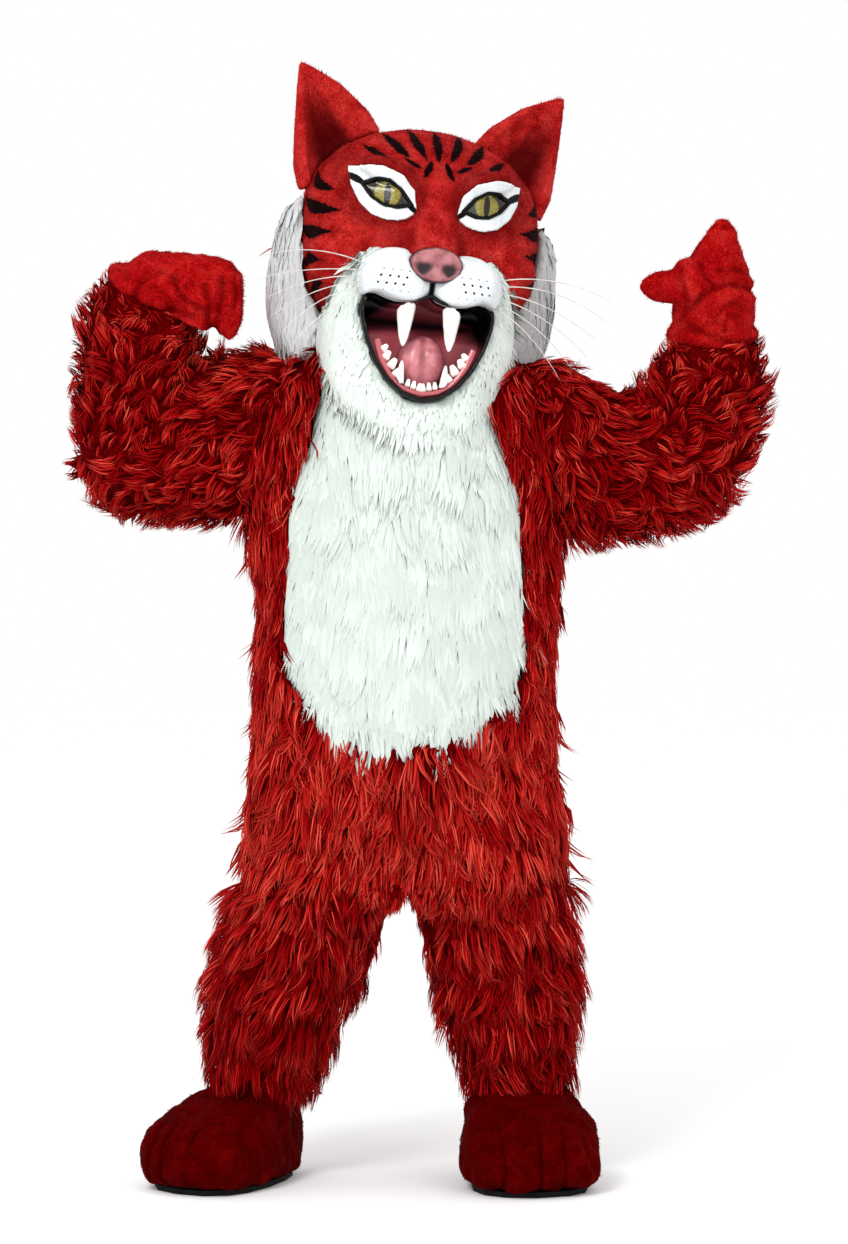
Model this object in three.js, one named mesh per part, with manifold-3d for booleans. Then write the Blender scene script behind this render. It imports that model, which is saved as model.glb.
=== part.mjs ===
// A full-body wildcat costume, worn pose, in millimetres, +Z up and facing -Y.
// The origin is inside the neck at shoulder height, where the wearer carries the suit and the head.
// "left" and "right" are the wearer's: left is +X.
import * as THREE from "three";
import { mergeVertices } from "three/addons/utils/BufferGeometryUtils.js";
import Module from "manifold-3d";

const wasm = await Module();
wasm.setup();

// ---------------------------------------------------------------- driving sizes
const seam = 0.3; // gap between two neighbouring pieces
const longPile = 20; // shaggy fur: backing and the pile that lies on it
const shortPile = 6; // short plush with its backing
const headWall = 12; // plush over the foam of the head
const floorZ = -1385; // underside of the soles
const reach = 400; // half the length of a block that cuts right through the part
const far = 2000; // reaches past everything

const colours = {
  redFur: 0xb0141b,
  whiteFur: 0xe6ebe4,
  redPlush: 0xb81d1b,
  footPlush: 0x7a0508,
  whitePlush: 0xe9efef,
  soleRubber: 0x0d0d0f,
  lipVinyl: 0x0b0b12,
  mouthPink: 0xb8545c,
  nosePink: 0xb06a72,
  tooth: 0xf4f2ee,
  eyeYellow: 0xa8942c,
  whisker: 0xf2f2f0,
};
const materials = {};
for (const [name, color] of Object.entries(colours)) {
  const glossy = ["lipVinyl", "tooth", "eyeYellow"].includes(name);
  materials[name] = new THREE.MeshStandardMaterial({ color, roughness: glossy ? 0.25 : 0.9, metalness: 0 });
}

// ---------------------------------------------------------------- solids from three.js shapes
function solid(geometry) {
  const bare = geometry.index ? geometry.toNonIndexed() : geometry.clone();
  bare.deleteAttribute("normal");
  bare.deleteAttribute("uv");
  const merged = mergeVertices(bare, 1e-3);
  return new wasm.Manifold(
    new wasm.Mesh({
      numProp: 3,
      vertProperties: merged.attributes.position.array,
      triVerts: new Uint32Array(merged.index.array),
    }),
  );
}

function mesh(name, manifold, material, group) {
  const data = manifold.getMesh();
  const geometry = new THREE.BufferGeometry();
  const positions = new Float32Array(data.numVert * 3);
  for (let i = 0; i < data.numVert; i++) {
    positions.set(data.vertProperties.subarray(i * data.numProp, i * data.numProp + 3), i * 3);
  }
  geometry.setAttribute("position", new THREE.BufferAttribute(positions, 3));
  geometry.setIndex(new THREE.BufferAttribute(data.triVerts, 1));
  geometry.computeVertexNormals();
  const made = new THREE.Mesh(geometry, material);
  made.name = name;
  group.add(made);
  return made;
}

const join = (...solids) => solids.reduce((whole, next) => whole.add(next));

// Rings of equal count joined by quads, with a fan at each end.
function loft(rings) {
  const count = rings[0].length;
  const points = rings.flat();
  const faces = [];
  for (let r = 0; r + 1 < rings.length; r++) {
    for (let i = 0; i < count; i++) {
      const a = r * count + i;
      const b = r * count + ((i + 1) % count);
      faces.push(a, b, b + count, a, b + count, a + count);
    }
  }
  for (const [ring, flip] of [[0, true], [rings.length - 1, false]]) {
    const centre = rings[ring].reduce((sum, p) => sum.add(p), new THREE.Vector3()).divideScalar(count);
    points.push(centre);
    for (let i = 0; i < count; i++) {
      const a = ring * count + i;
      const b = ring * count + ((i + 1) % count);
      faces.push(...(flip ? [b, a, points.length - 1] : [a, b, points.length - 1]));
    }
  }
  const geometry = new THREE.BufferGeometry().setFromPoints(points);
  geometry.setIndex(faces);
  return solid(geometry);
}

// A closed ring, counter-clockwise round "along": a superellipse that grows boxy with square above 2.
function ring(centre, across, back, sides, wide, deep, square = 2) {
  const points = [];
  for (let i = 0; i < sides; i++) {
    const angle = (2 * Math.PI * i) / sides;
    const c = Math.cos(angle);
    const s = Math.sin(angle);
    const x = Math.sign(c) * Math.abs(c) ** (2 / square) * wide;
    const y = Math.sign(s) * Math.abs(s) ** (2 / square) * deep;
    points.push(centre.clone().addScaledVector(across, x).addScaledVector(back, y));
  }
  return points;
}

const unitX = new THREE.Vector3(1, 0, 0);
const unitY = new THREE.Vector3(0, 1, 0);

// Level rings from a table of heights, lowest first.
function levels(rows, sides, grow = 0) {
  return loft(
    rows.map((row) =>
      ring(
        new THREE.Vector3(row.x ?? 0, row.y ?? 0, row.z),
        unitX,
        unitY,
        sides,
        row.wide + grow,
        row.deep + grow,
        row.square ?? 2.2,
      ),
    ),
  );
}

// The frame of a limb's ring: its centre, the way along, and two radii's directions.
function limbFrames(rows) {
  const places = rows.map((row) => new THREE.Vector3(row.x, row.y, row.z));
  return rows.map((row, i) => {
    const before = places[Math.max(0, i - 1)];
    const after = places[Math.min(rows.length - 1, i + 1)];
    const along = row.along
      ? new THREE.Vector3(...row.along).normalize()
      : after.clone().sub(before).normalize();
    const across = unitY.clone().cross(along).normalize();
    const back = along.clone().cross(across).normalize();
    return { centre: places[i], along, across, back, radius: row.radius, deep: row.deep ?? row.radius };
  });
}

function limb(rows, sides, grow = 0, past = 0) {
  const frames = limbFrames(rows);
  const last = frames[frames.length - 1];
  const rings = frames.map((f) =>
    ring(f.centre, f.across, f.back, sides, f.radius + grow, f.deep + grow, 2.1),
  );
  if (past) {
    const beyond = last.centre.clone().addScaledVector(last.along, past);
    rings.push(ring(beyond, last.across, last.back, sides, last.radius + grow, last.deep + grow, 2.1));
  }
  return loft(rings);
}

function ellipsoid(x, y, z, a, b, c, segments = 16, turn = [0, 0, 0]) {
  const geometry = new THREE.SphereGeometry(1, segments, Math.round(segments * 0.625));
  geometry.rotateX(Math.PI / 2);
  geometry.scale(a, b, c);
  geometry.applyMatrix4(new THREE.Matrix4().makeRotationFromEuler(new THREE.Euler(...turn)));
  geometry.translate(x, y, z);
  return solid(geometry);
}

function box(low, high) {
  const size = high.map((h, i) => h - low[i]);
  const geometry = new THREE.BoxGeometry(...size);
  geometry.translate(...low.map((l, i) => l + size[i] / 2));
  return solid(geometry);
}

// A shape drawn in X and Z, carried along Y from near to far.
function acrossY(shape, near, back, curveSegments = 6) {
  const depth = back - near;
  const geometry = new THREE.ExtrudeGeometry(shape, { depth, bevelEnabled: false, curveSegments });
  geometry.rotateX(Math.PI / 2);
  geometry.translate(0, back, 0);
  return solid(geometry);
}

// A shape drawn in Y and Z, carried along X from low to high.
function acrossX(shape, low, high, curveSegments = 6) {
  const depth = high - low;
  const geometry = new THREE.ExtrudeGeometry(shape, { depth, bevelEnabled: false, curveSegments });
  const carry = new THREE.Matrix4().makeBasis(unitY, new THREE.Vector3(0, 0, 1), unitX);
  geometry.applyMatrix4(carry);
  geometry.translate(low, 0, 0);
  return solid(geometry);
}

function polygon(points) {
  return new THREE.Shape(points.map(([x, z]) => new THREE.Vector2(x, z)));
}

// ---------------------------------------------------------------- the suit's skins
const torsoRows = [
  { z: -884, wide: 276, deep: 140, y: 4 },
  { z: -840, wide: 287, deep: 162, y: 2 },
  { z: -760, wide: 280, deep: 170, y: -2 },
  { z: -656, wide: 271, deep: 174, y: -8 },
  { z: -520, wide: 265, deep: 178, y: -14 },
  { z: -376, wide: 268, deep: 172, y: -10 },
  { z: -245, wide: 279, deep: 164, y: -4 },
  { z: -140, wide: 282, deep: 142, y: 2 },
  { z: -50, wide: 262, deep: 120, y: 8 },
  { z: 10, wide: 232, deep: 108, y: 10 },
  { z: 46, wide: 186, deep: 100, y: 10 },
  { z: 70, wide: 136, deep: 94, y: 10 },
  { z: 88, wide: 110, deep: 88, y: 10 },
];
const legRows = {
  right: [
    { z: -1236, x: -250, wide: 100, deep: 104, y: 12 },
    { z: -1164, x: -240, wide: 118, deep: 118, y: 8 },
    { z: -1076, x: -222, wide: 128, deep: 128, y: 4 },
    { z: -989, x: -196, wide: 140, deep: 138, y: 2 },
    { z: -920, x: -166, wide: 146, deep: 148, y: 2 },
    { z: -872, x: -144, wide: 144, deep: 153, y: 3 },
    { z: -800, x: -138, wide: 136, deep: 150, y: 2 },
  ],
  left: [
    { z: -1236, x: 200, wide: 98, deep: 102, y: 12 },
    { z: -1164, x: 194, wide: 112, deep: 114, y: 8 },
    { z: -1076, x: 179, wide: 125, deep: 124, y: 4 },
    { z: -989, x: 167, wide: 130, deep: 134, y: 2 },
    { z: -920, x: 152, wide: 140, deep: 146, y: 2 },
    { z: -872, x: 146, wide: 140, deep: 152, y: 3 },
    { z: -800, x: 140, wide: 134, deep: 150, y: 2 },
  ],
};
// Each arm is an upper tube, a ball at the elbow and a forearm tube, shoulder to cuff.
const armRows = {
  right: {
    upper: [
      { x: -120, y: 4, z: -84, radius: 118, deep: 112 },
      { x: -240, y: 2, z: -84, radius: 150, deep: 122 },
      { x: -340, y: -4, z: -98, radius: 144, deep: 126 },
      { x: -448, y: -10, z: -104, radius: 128, deep: 122 },
    ],
    elbow: { x: -458, y: -12, z: -109, radius: 119 },
    fore: [
      { x: -460, y: -14, z: -106, radius: 110, deep: 114 },
      { x: -466, y: -30, z: 6, radius: 110, deep: 112 },
      { x: -459, y: -52, z: 92, radius: 102, deep: 102 },
      { x: -444, y: -68, z: 150, radius: 86, deep: 88, along: [0.42, -0.3, 0.86] },
    ],
  },
  left: {
    upper: [
      { x: 120, y: 4, z: -84, radius: 118, deep: 112 },
      { x: 240, y: 2, z: -94, radius: 146, deep: 122 },
      { x: 340, y: -4, z: -138, radius: 134, deep: 126 },
      { x: 472, y: -10, z: -132, radius: 120, deep: 120 },
    ],
    elbow: { x: 483, y: -12, z: -129, radius: 117 },
    fore: [
      { x: 486, y: -14, z: -124, radius: 109, deep: 112 },
      { x: 512, y: -28, z: -44, radius: 111, deep: 110 },
      { x: 527, y: -44, z: 18, radius: 106, deep: 104 },
      { x: 532, y: -58, z: 70, radius: 86, deep: 88, along: [0.03, -0.25, 0.97] },
    ],
  },
};

// Flat sides round each tube, outside and inside the wall.
const outerSides = { torso: 24, leg: 16, arm: 14 };
const innerSides = { torso: 16, leg: 12, arm: 10 };

function suitSkin(grow, opened) {
  const sides = opened ? innerSides : outerSides;
  const past = opened ? 30 : 0;
  const top = torsoRows[torsoRows.length - 1];
  const rise = opened ? [{ ...top, z: top.z + past }] : [];
  const drop = (rows) => (opened ? [{ ...rows[0], z: rows[0].z - past }, ...rows] : rows);
  const torso = [...torsoRows, ...rise].map((row) => ({ ...row }));
  torso[0].z -= grow; // the inner skin stops short of the seat
  const parts = [levels(torso, sides.torso, grow)];
  for (const side of ["right", "left"]) {
    parts.push(levels(drop(legRows[side]), sides.leg, grow));
    const arm = armRows[side];
    const { x, y, z, radius } = arm.elbow;
    parts.push(limb(arm.upper, sides.arm, grow));
    parts.push(ellipsoid(x, y, z, radius + grow, radius + grow, radius + grow, sides.arm));
    parts.push(limb(arm.fore, sides.arm, grow, past));
  }
  return join(...parts);
}

const suitOuter = suitSkin(0, false);
const suitWall = suitOuter.subtract(suitSkin(-longPile, true));

// ---------------------------------------------------------------- cutting the suit into its panels
const legSeamZ = -862;
const frontSeamX = 3;
const half = seam / 2;

// Armholes lean outwards from the shoulder to the armpit.
const shoulderZ = 40;
const armholes = {
  left: { top: 206, armpit: 286, armpitZ: -258 },
  right: { top: 206, armpit: 286, armpitZ: -246 },
};
function armholeCutter(side, grow) {
  const { top, armpit, armpitZ } = armholes[side];
  const sign = side === "left" ? 1 : -1;
  const belowArm = armpitZ - 120;
  const outline = [
    [top - grow, reach],
    [top - grow, shoulderZ],
    [armpit - grow, armpitZ],
    [armpit - grow, belowArm],
    [far, belowArm],
    [far, reach],
  ].map(([x, z]) => [sign * x, z]);
  return acrossY(polygon(outline), -reach, reach);
}
const bodyPart = suitWall
  .subtract(armholeCutter("left", half))
  .subtract(armholeCutter("right", half));
const torsoWall = bodyPart.intersect(box([-far, -far, legSeamZ + half], [far, far, far]));
const legWall = bodyPart.intersect(box([-far, -far, -far], [far, far, legSeamZ - half]));

// The white panel: straight sides that bow a little and a round lower end.
const belly = {
  topZ: 60,
  neck: 128, // half widths, and the heights that they are at
  armpit: 158,
  armpitZ: -110,
  chest: 200,
  chestZ: -190,
  side: 210,
  sideZ: -470,
  hip: 196,
  hipZ: -560,
  bottom: 110,
  bottomZ: -622,
};
function bellyShape(grow) {
  const b = belly;
  const lowZ = b.bottomZ - grow;
  const shape = new THREE.Shape();
  shape.moveTo(-(b.neck + grow), b.topZ + 100);
  shape.lineTo(-(b.neck + grow), b.topZ);
  shape.quadraticCurveTo(-(b.armpit + grow), b.armpitZ, -(b.chest + grow), b.chestZ);
  shape.lineTo(-(b.side + grow), b.sideZ);
  shape.bezierCurveTo(-(b.hip + grow), b.hipZ, -(b.bottom + grow), lowZ, 0, lowZ);
  shape.bezierCurveTo(b.bottom + grow, lowZ, b.hip + grow, b.hipZ, b.side + grow, b.sideZ);
  shape.lineTo(b.chest + grow, b.chestZ);
  shape.quadraticCurveTo(b.armpit + grow, b.armpitZ, b.neck + grow, b.topZ);
  shape.lineTo(b.neck + grow, b.topZ + 100);
  return shape;
}
const frontHalf = torsoWall.intersect(box([-far, -far, -far], [far, -half, far]));
const backHalf = torsoWall.intersect(box([-far, half, -far], [far, far, far]));
const bellyPanel = frontHalf.intersect(acrossY(bellyShape(-half), -reach, 0, 5));
const redFront = frontHalf.subtract(acrossY(bellyShape(half), -reach, 0, 5));

const onLeft = box([frontSeamX + half, -far, -far], [far, far, far]);
const onRight = box([-far, -far, -far], [frontSeamX - half, far, far]);
const leftHalf = box([half, -far, -far], [far, far, far]);
const rightHalf = box([-far, -far, -far], [-half, far, far]);

// The underlap behind the centre-back opening follows the back's inside.
const placket = { wide: 42, thick: 3, topZ: 40, lowZ: -700 };
const placketStrip = suitSkin(-longPile - seam, true)
  .subtract(suitSkin(-longPile - seam - placket.thick, true))
  .intersect(box([-placket.wide / 2, 40, placket.lowZ], [placket.wide / 2, reach, placket.topZ]));

const costume = new THREE.Group();
const suit = new THREE.Group();
costume.add(suit);
mesh("belly_panel", bellyPanel, materials.whiteFur, suit);
mesh("front_left", redFront.intersect(onLeft), materials.redFur, suit);
mesh("front_right", redFront.intersect(onRight), materials.redFur, suit);
mesh("back_left", backHalf.intersect(leftHalf), materials.redFur, suit);
mesh("back_right", backHalf.intersect(rightHalf), materials.redFur, suit);
mesh("back_placket", placketStrip, materials.redPlush, suit);
mesh("leg_left", legWall.intersect(onLeft), materials.redFur, suit);
mesh("leg_right", legWall.intersect(onRight), materials.redFur, suit);
for (const side of ["left", "right"]) {
  mesh("sleeve_" + side, suitWall.intersect(armholeCutter(side, -half)), materials.redFur, suit);
}

// ---------------------------------------------------------------- mitts
// Each hand is a tube from the wrist to the fingers with smaller lobes on it.
const wristInside = 34; // how far a mitt runs up inside its sleeve
const mitts = {
  right: {
    hand: [
      { x: -438, y: -72, z: 160, radius: 64, deep: 62, along: [0.42, -0.3, 0.86] },
      { x: -420, y: -80, z: 172, radius: 62, deep: 60, along: [0.75, -0.2, 0.4] },
      { x: -385, y: -86, z: 160, radius: 64, deep: 60, along: [1, 0, -0.3] },
      { x: -345, y: -88, z: 149, radius: 70, deep: 62, along: [1, 0, -0.15] },
      { x: -308, y: -88, z: 143, radius: 66, deep: 58, along: [1, 0, -0.1] },
      { x: -280, y: -88, z: 143, radius: 42, deep: 40, along: [1, 0, 0] },
    ],
    lobes: [
      { x: -362, y: -102, z: 92, a: 32, b: 32, c: 40 },
      { x: -302, y: -112, z: 126, a: 27, b: 29, c: 58 },
    ],
  },
  left: {
    hand: [
      { x: 533, y: -60, z: 80, radius: 64, deep: 62, along: [0, -0.2, 1] },
      { x: 534, y: -68, z: 112, radius: 73, deep: 62, along: [0, -0.1, 1] },
      { x: 534, y: -74, z: 152, radius: 72, deep: 60, along: [0.1, 0, 1] },
      { x: 538, y: -78, z: 192, radius: 57, deep: 52, along: [0.1, 0, 1] },
      { x: 543, y: -80, z: 232, radius: 38, deep: 38, along: [0.1, 0, 1] },
      { x: 547, y: -80, z: 258, radius: 27, deep: 28, along: [0.1, 0, 1] },
      { x: 548, y: -80, z: 278, radius: 13, deep: 14, along: [0, 0, 1] },
    ],
    lobes: [
      { x: 494, y: -93, z: 164, a: 44, b: 41, c: 50 },
      { x: 452, y: -91, z: 162, a: 47, b: 28, c: 29 },
    ],
  },
};

// The rolled cuff stands on the mitt just past the sleeve's end.
function cuffRoll(end, sides) {
  const radius = end.radius - longPile + 15;
  const rows = [
    { along: seam, radius: radius - 7 },
    { along: 6, radius },
    { along: 20, radius },
    { along: 28, radius: radius - 9 },
  ];
  return loft(
    rows.map((row) => {
      const centre = end.centre.clone().addScaledVector(end.along, row.along);
      return ring(centre, end.across, end.back, sides, row.radius, row.radius);
    }),
  );
}

function mitt(side) {
  const { hand, lobes } = mitts[side];
  const fore = armRows[side].fore;
  const end = limbFrames(fore)[fore.length - 1];
  const slab = (from, to) =>
    loft(
      [from, to].map((along) => {
        const centre = end.centre.clone().addScaledVector(end.along, along);
        return ring(centre, end.across, end.back, 4, reach, reach);
      }),
    );
  const wrist = (grow, low, high) =>
    limb(fore, innerSides.arm, grow - longPile - seam, high + 10).intersect(slab(low, high));
  // The fingertips' end moves with the rest when the form grows or shrinks.
  const tip = hand[hand.length - 1];
  const reached = (grow) => [
    ...hand.slice(0, -1),
    { ...tip, x: tip.x + grow * tip.along[0], z: tip.z + grow * tip.along[2] },
  ];
  const palm = (grow, sides) =>
    join(
      limb(reached(grow), sides, grow),
      ...lobes.map((l) => ellipsoid(l.x, l.y, l.z, l.a + grow, l.b + grow, l.c + grow, sides)),
    );
  const handOuter = palm(0, 10).intersect(slab(seam, reach));
  const outer = join(wrist(0, -wristInside, 12), cuffRoll(end, 12), handOuter);
  const inner = join(
    wrist(-shortPile, -wristInside - 10, 16),
    palm(-shortPile, 8).intersect(slab(seam + shortPile, reach)),
  );
  return outer.subtract(inner);
}
for (const side of ["left", "right"]) {
  mesh("mitt_" + side, mitt(side), materials.redPlush, costume);
}

// ---------------------------------------------------------------- feet
const sole = { thick: 9, inset: 4 };
const feet = {
  right: { x: -264, y: 2, turn: -0.62, broad: 1 },
  left: { x: 198, y: 2, turn: 0.14, broad: 1.07 },
};
// Level outlines of a foot about its ankle; each is narrower at the heel than at the toes.
const heelTaper = 0.32;
const footSides = 16;
const footRows = [
  { rise: 0, ahead: 64, wide: 91, deep: 150 },
  { rise: 15, ahead: 66, wide: 100, deep: 164 },
  { rise: 52, ahead: 66, wide: 104, deep: 168 },
  { rise: 92, ahead: 60, wide: 99, deep: 156 },
  { rise: 118, ahead: 42, wide: 92, deep: 130 },
  { rise: 137, ahead: 16, wide: 81, deep: 98 },
];
const footBase = floorZ + sole.thick + seam;

function footRing(side, row, grow) {
  const { x, y, turn, broad } = feet[side];
  const across = new THREE.Vector3(Math.cos(turn), Math.sin(turn), 0);
  const back = new THREE.Vector3(-Math.sin(turn), Math.cos(turn), 0);
  const centre = new THREE.Vector3(x, y, footBase + row.rise).addScaledVector(back, -row.ahead);
  const round = ring(centre, across, back, footSides, row.wide * broad + grow, row.deep + grow, 2.4);
  for (const point of round) {
    const offset = point.clone().sub(centre);
    const behind = offset.dot(back) / row.deep;
    point.addScaledVector(across, -heelTaper * behind * offset.dot(across));
  }
  return round;
}

function foot(side) {
  const body = (grow) => {
    const rows = footRows.map((row) => ({ ...row }));
    rows[0].rise -= grow;
    return loft(rows.map((row) => footRing(side, row, grow)));
  };
  const hem = legRows[side][0];
  const inLeg = levels([{ ...hem, z: hem.z - 60 }, ...legRows[side]], innerSides.leg, -longPile - seam);
  const inAnkle = levels(
    [{ ...hem, z: hem.z - 60 }, ...legRows[side]],
    innerSides.leg,
    -longPile - seam - shortPile,
  );
  const band = (low, high) => box([-far, -far, low], [far, far, high]);
  const ankleTop = hem.z + 34;
  const outer = join(body(0), inLeg.intersect(band(footBase + 90, ankleTop)));
  const inner = join(body(-shortPile), inAnkle.intersect(band(footBase + 80, ankleTop + 20)));
  return outer.subtract(inner);
}
for (const side of ["left", "right"]) {
  mesh("foot_" + side, foot(side), materials.footPlush, costume);
  const outline = footRing(side, footRows[0], -sole.inset);
  const slab = loft([floorZ, floorZ + sole.thick].map((z) => outline.map((p) => p.clone().setZ(z))));
  mesh("sole_" + side, slab, materials.soleRubber, costume);
}

// ---------------------------------------------------------------- head
// Built about its own middle, facing -Y and level, then seated on the neck, tilted and turned.
const headSeat = { x: 25, y: -18, z: 222 };
const headTurn = { tilt: THREE.MathUtils.degToRad(6), yaw: THREE.MathUtils.degToRad(11) };
const head = new THREE.Group();
head.position.set(headSeat.x, headSeat.y, headSeat.z);
head.rotation.set(0, headTurn.tilt, headTurn.yaw);
costume.add(head);
head.updateMatrix();
const intoHead = head.matrix.clone().invert();

function moved(manifold, matrix) {
  const data = manifold.getMesh();
  const geometry = new THREE.BufferGeometry();
  geometry.setAttribute("position", new THREE.BufferAttribute(new Float32Array(data.vertProperties), 3));
  geometry.setIndex(new THREE.BufferAttribute(data.triVerts, 1));
  geometry.applyMatrix4(matrix);
  return solid(geometry);
}
const suitInHead = moved(suitSkin(seam, false), intoHead);

// One wildcat face: skull, bridge of the nose, brows and cheeks.
const skullRows = [
  { z: -124, wide: 150, deep: 128, y: 34 },
  { z: -80, wide: 184, deep: 146, y: 34 },
  { z: -20, wide: 205, deep: 158, y: 34 },
  { z: 40, wide: 212, deep: 160, y: 34 },
  { z: 95, wide: 208, deep: 156, y: 34 },
  { z: 140, wide: 188, deep: 142, y: 36 },
  { z: 178, wide: 152, deep: 116, y: 38 },
  { z: 206, wide: 104, deep: 80, y: 40 },
  { z: 222, wide: 48, deep: 38, y: 42 },
];
const bridgeRows = [
  { x: 0, y: -88, z: 136, radius: 34, deep: 22 },
  { x: 0, y: -108, z: 84, radius: 33, deep: 26 },
  { x: 0, y: -126, z: 30, radius: 38, deep: 28 },
  { x: 0, y: -140, z: -14, radius: 46, deep: 30 },
  { x: 0, y: -136, z: -52, radius: 44, deep: 30 },
];
const brow = { x: 76, y: -90, z: 124, a: 60, b: 34, c: 25, lift: 0.3 };
const cheek = { x: 110, y: -34, z: -16, a: 94, b: 76, c: 92 };

function faceForm(grow) {
  const parts = [levels(skullRows, 20, grow), limb(bridgeRows, 10, grow)];
  const mound = ({ x, y, z, a, b, c, lift = 0 }, sign, segments) =>
    ellipsoid(sign * x, y, z, a + grow, b + grow, c + grow, segments, [0, -sign * lift, 0]);
  for (const sign of [-1, 1]) {
    parts.push(mound(brow, sign, 10), mound(cheek, sign, 12));
  }
  return join(...parts);
}
const face = faceForm(0);
const offFace = faceForm(seam);

// The open mouth: a front outline carried back to a stepped rear wall.
const mouthWall = 7;
function mouthOutline(grow) {
  const g = grow;
  const shape = new THREE.Shape();
  shape.moveTo(0, -84 + g);
  shape.quadraticCurveTo(-40, -112 + g, -82 - g, -88 + g);
  shape.quadraticCurveTo(-118 - g, -84 + g, -108 - g, -128);
  shape.bezierCurveTo(-96 - g, -186, -56 - g, -256 - g, 0, -256 - g);
  shape.bezierCurveTo(56 + g, -256 - g, 96 + g, -186, 108 + g, -128);
  shape.quadraticCurveTo(118 + g, -84 + g, 82 + g, -88 + g);
  shape.quadraticCurveTo(40, -112 + g, 0, -84 + g);
  return shape;
}
// The rear wall stands furthest back behind the fangs and comes forward behind the jaw.
const mouthDepth = {
  topZ: -40,
  rearY: -44,
  rearZ: -106,
  stepY: -106,
  stepZ: -152,
  floorY: -114,
  lowZ: -290,
};
function mouthSpace(grow) {
  const m = mouthDepth;
  const side = polygon([
    [-reach, m.topZ],
    [m.rearY + grow, m.topZ],
    [m.rearY + grow, m.rearZ - grow],
    [m.stepY + grow, m.stepZ - grow],
    [m.floorY + grow, m.lowZ],
    [-reach, m.lowZ],
  ]);
  return acrossY(mouthOutline(grow), -reach, reach, 5).intersect(acrossX(side, -reach, reach));
}
const offMouth = mouthSpace(mouthWall + seam);

// White beard under and beside the mouth, down over the chest.
const beardRows = [
  { z: -318, wide: 160, deep: 144, y: 6 },
  { z: -285, wide: 176, deep: 158, y: 6 },
  { z: -240, wide: 186, deep: 170, y: 6 },
  { z: -180, wide: 192, deep: 172, y: 6 },
  { z: -120, wide: 200, deep: 170, y: 6 },
  { z: -60, wide: 206, deep: 164, y: 8 },
  { z: -2, wide: 206, deep: 158, y: 10 },
];
function beardOutline() {
  const shape = new THREE.Shape();
  shape.moveTo(0, -4);
  shape.lineTo(-92, -4);
  shape.bezierCurveTo(-134, -8, -160, -60, -168, -130);
  shape.bezierCurveTo(-178, -230, -120, -318, 0, -318);
  shape.bezierCurveTo(120, -318, 178, -230, 168, -130);
  shape.bezierCurveTo(160, -60, 134, -8, 92, -4);
  shape.lineTo(0, -4);
  return shape;
}
const neckCore = levels(
  [
    { z: -170, wide: 142, deep: 120, y: 30 },
    { z: -90, wide: 142, deep: 120, y: 30 },
  ],
  20,
);
const muzzleLobe = { x: 61, y: -128, z: -60, a: 65, b: 52, c: 55 };
const nosePad = { x: 0, y: -166, z: -30, a: 49, b: 26, c: 31 };
const pad = ({ x, y, z, a, b, c }, sign, grow, segments) =>
  ellipsoid(sign * x, y, z, a + grow, b + grow, c + grow, segments);
const nose = pad(nosePad, 1, 0, 12).subtract(offFace);
const offNose = pad(nosePad, 1, seam, 12);
const offMuzzle = [];
for (const side of ["left", "right"]) {
  const sign = side === "left" ? 1 : -1;
  const ownHalf = sign > 0 ? leftHalf : rightHalf;
  offMuzzle.push(pad(muzzleLobe, sign, seam, 14));
  const lobe = pad(muzzleLobe, sign, 0, 14)
    .intersect(ownHalf)
    .subtract(offFace)
    .subtract(offNose)
    .subtract(offMouth);
  mesh("muzzle_" + side, lobe, materials.whitePlush, head);
}
mesh("nose", nose, materials.nosePink, head);

const headHollow = levels(
  [{ ...skullRows[0], z: skullRows[0].z - 20 }, ...skullRows],
  16,
  -headWall,
).intersect(box([-far, -far, -far], [far, far, 200]));
const headWalls = face.subtract(headHollow).subtract(offMouth);
const splitY = 34;
const ahead = box([-far, -far, -far], [far, splitY - half, far]);
const behind = box([-far, splitY + half, -far], [far, far, far]);
mesh("head_face", headWalls.intersect(ahead), materials.redPlush, head);
mesh("head_back", headWalls.intersect(behind), materials.redPlush, head);

const betweenLobes = box([-34, -far, -110], [34, far, 0]);
const beardBlank = levels(beardRows, 18)
  .intersect(acrossY(beardOutline(), -reach, 20, 6))
  .subtract(betweenLobes);
const beard = [offFace, ...offMuzzle, offNose, suitInHead, offMouth, neckCore].reduce(
  (left, cut) => left.subtract(cut),
  beardBlank,
);
mesh("chin_fur", beard, materials.whiteFur, head);

// Long fur behind the cheeks and over the nape closes the neck all round.
const collarRows = [
  { z: -196, wide: 222, deep: 156, y: 34 },
  { z: -165, wide: 244, deep: 168, y: 34 },
  { z: -120, wide: 258, deep: 178, y: 34 },
  { z: -60, wide: 262, deep: 184, y: 34 },
  { z: 0, wide: 258, deep: 184, y: 34 },
  { z: 56, wide: 246, deep: 178, y: 34 },
  { z: 86, wide: 218, deep: 160, y: 34 },
];
const collar = levels(collarRows, 20).subtract(offFace).subtract(suitInHead).subtract(neckCore);
const ruffY = { front: 12, back: 116 };
const ruffs = collar.intersect(box([-far, ruffY.front, -far], [far, ruffY.back, far])).subtract(beardBlank);
mesh("ruff_left", ruffs.intersect(leftHalf), materials.whiteFur, head);
mesh("ruff_right", ruffs.intersect(rightHalf), materials.whiteFur, head);
const napeTopZ = 60;
const nape = collar.intersect(box([-far, ruffY.back + seam, -far], [far, far, napeTopZ]));
mesh("nape_fur", nape, materials.redFur, head);

// Eyes: an almond of glossy vinyl, a black rim round it and a white plush patch behind the rim.
const eye = { x: 88, z: 84, inner: [48, 72], outer: [127, 100], top: 116, low: 62 };
const rimWide = 7;

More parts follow.
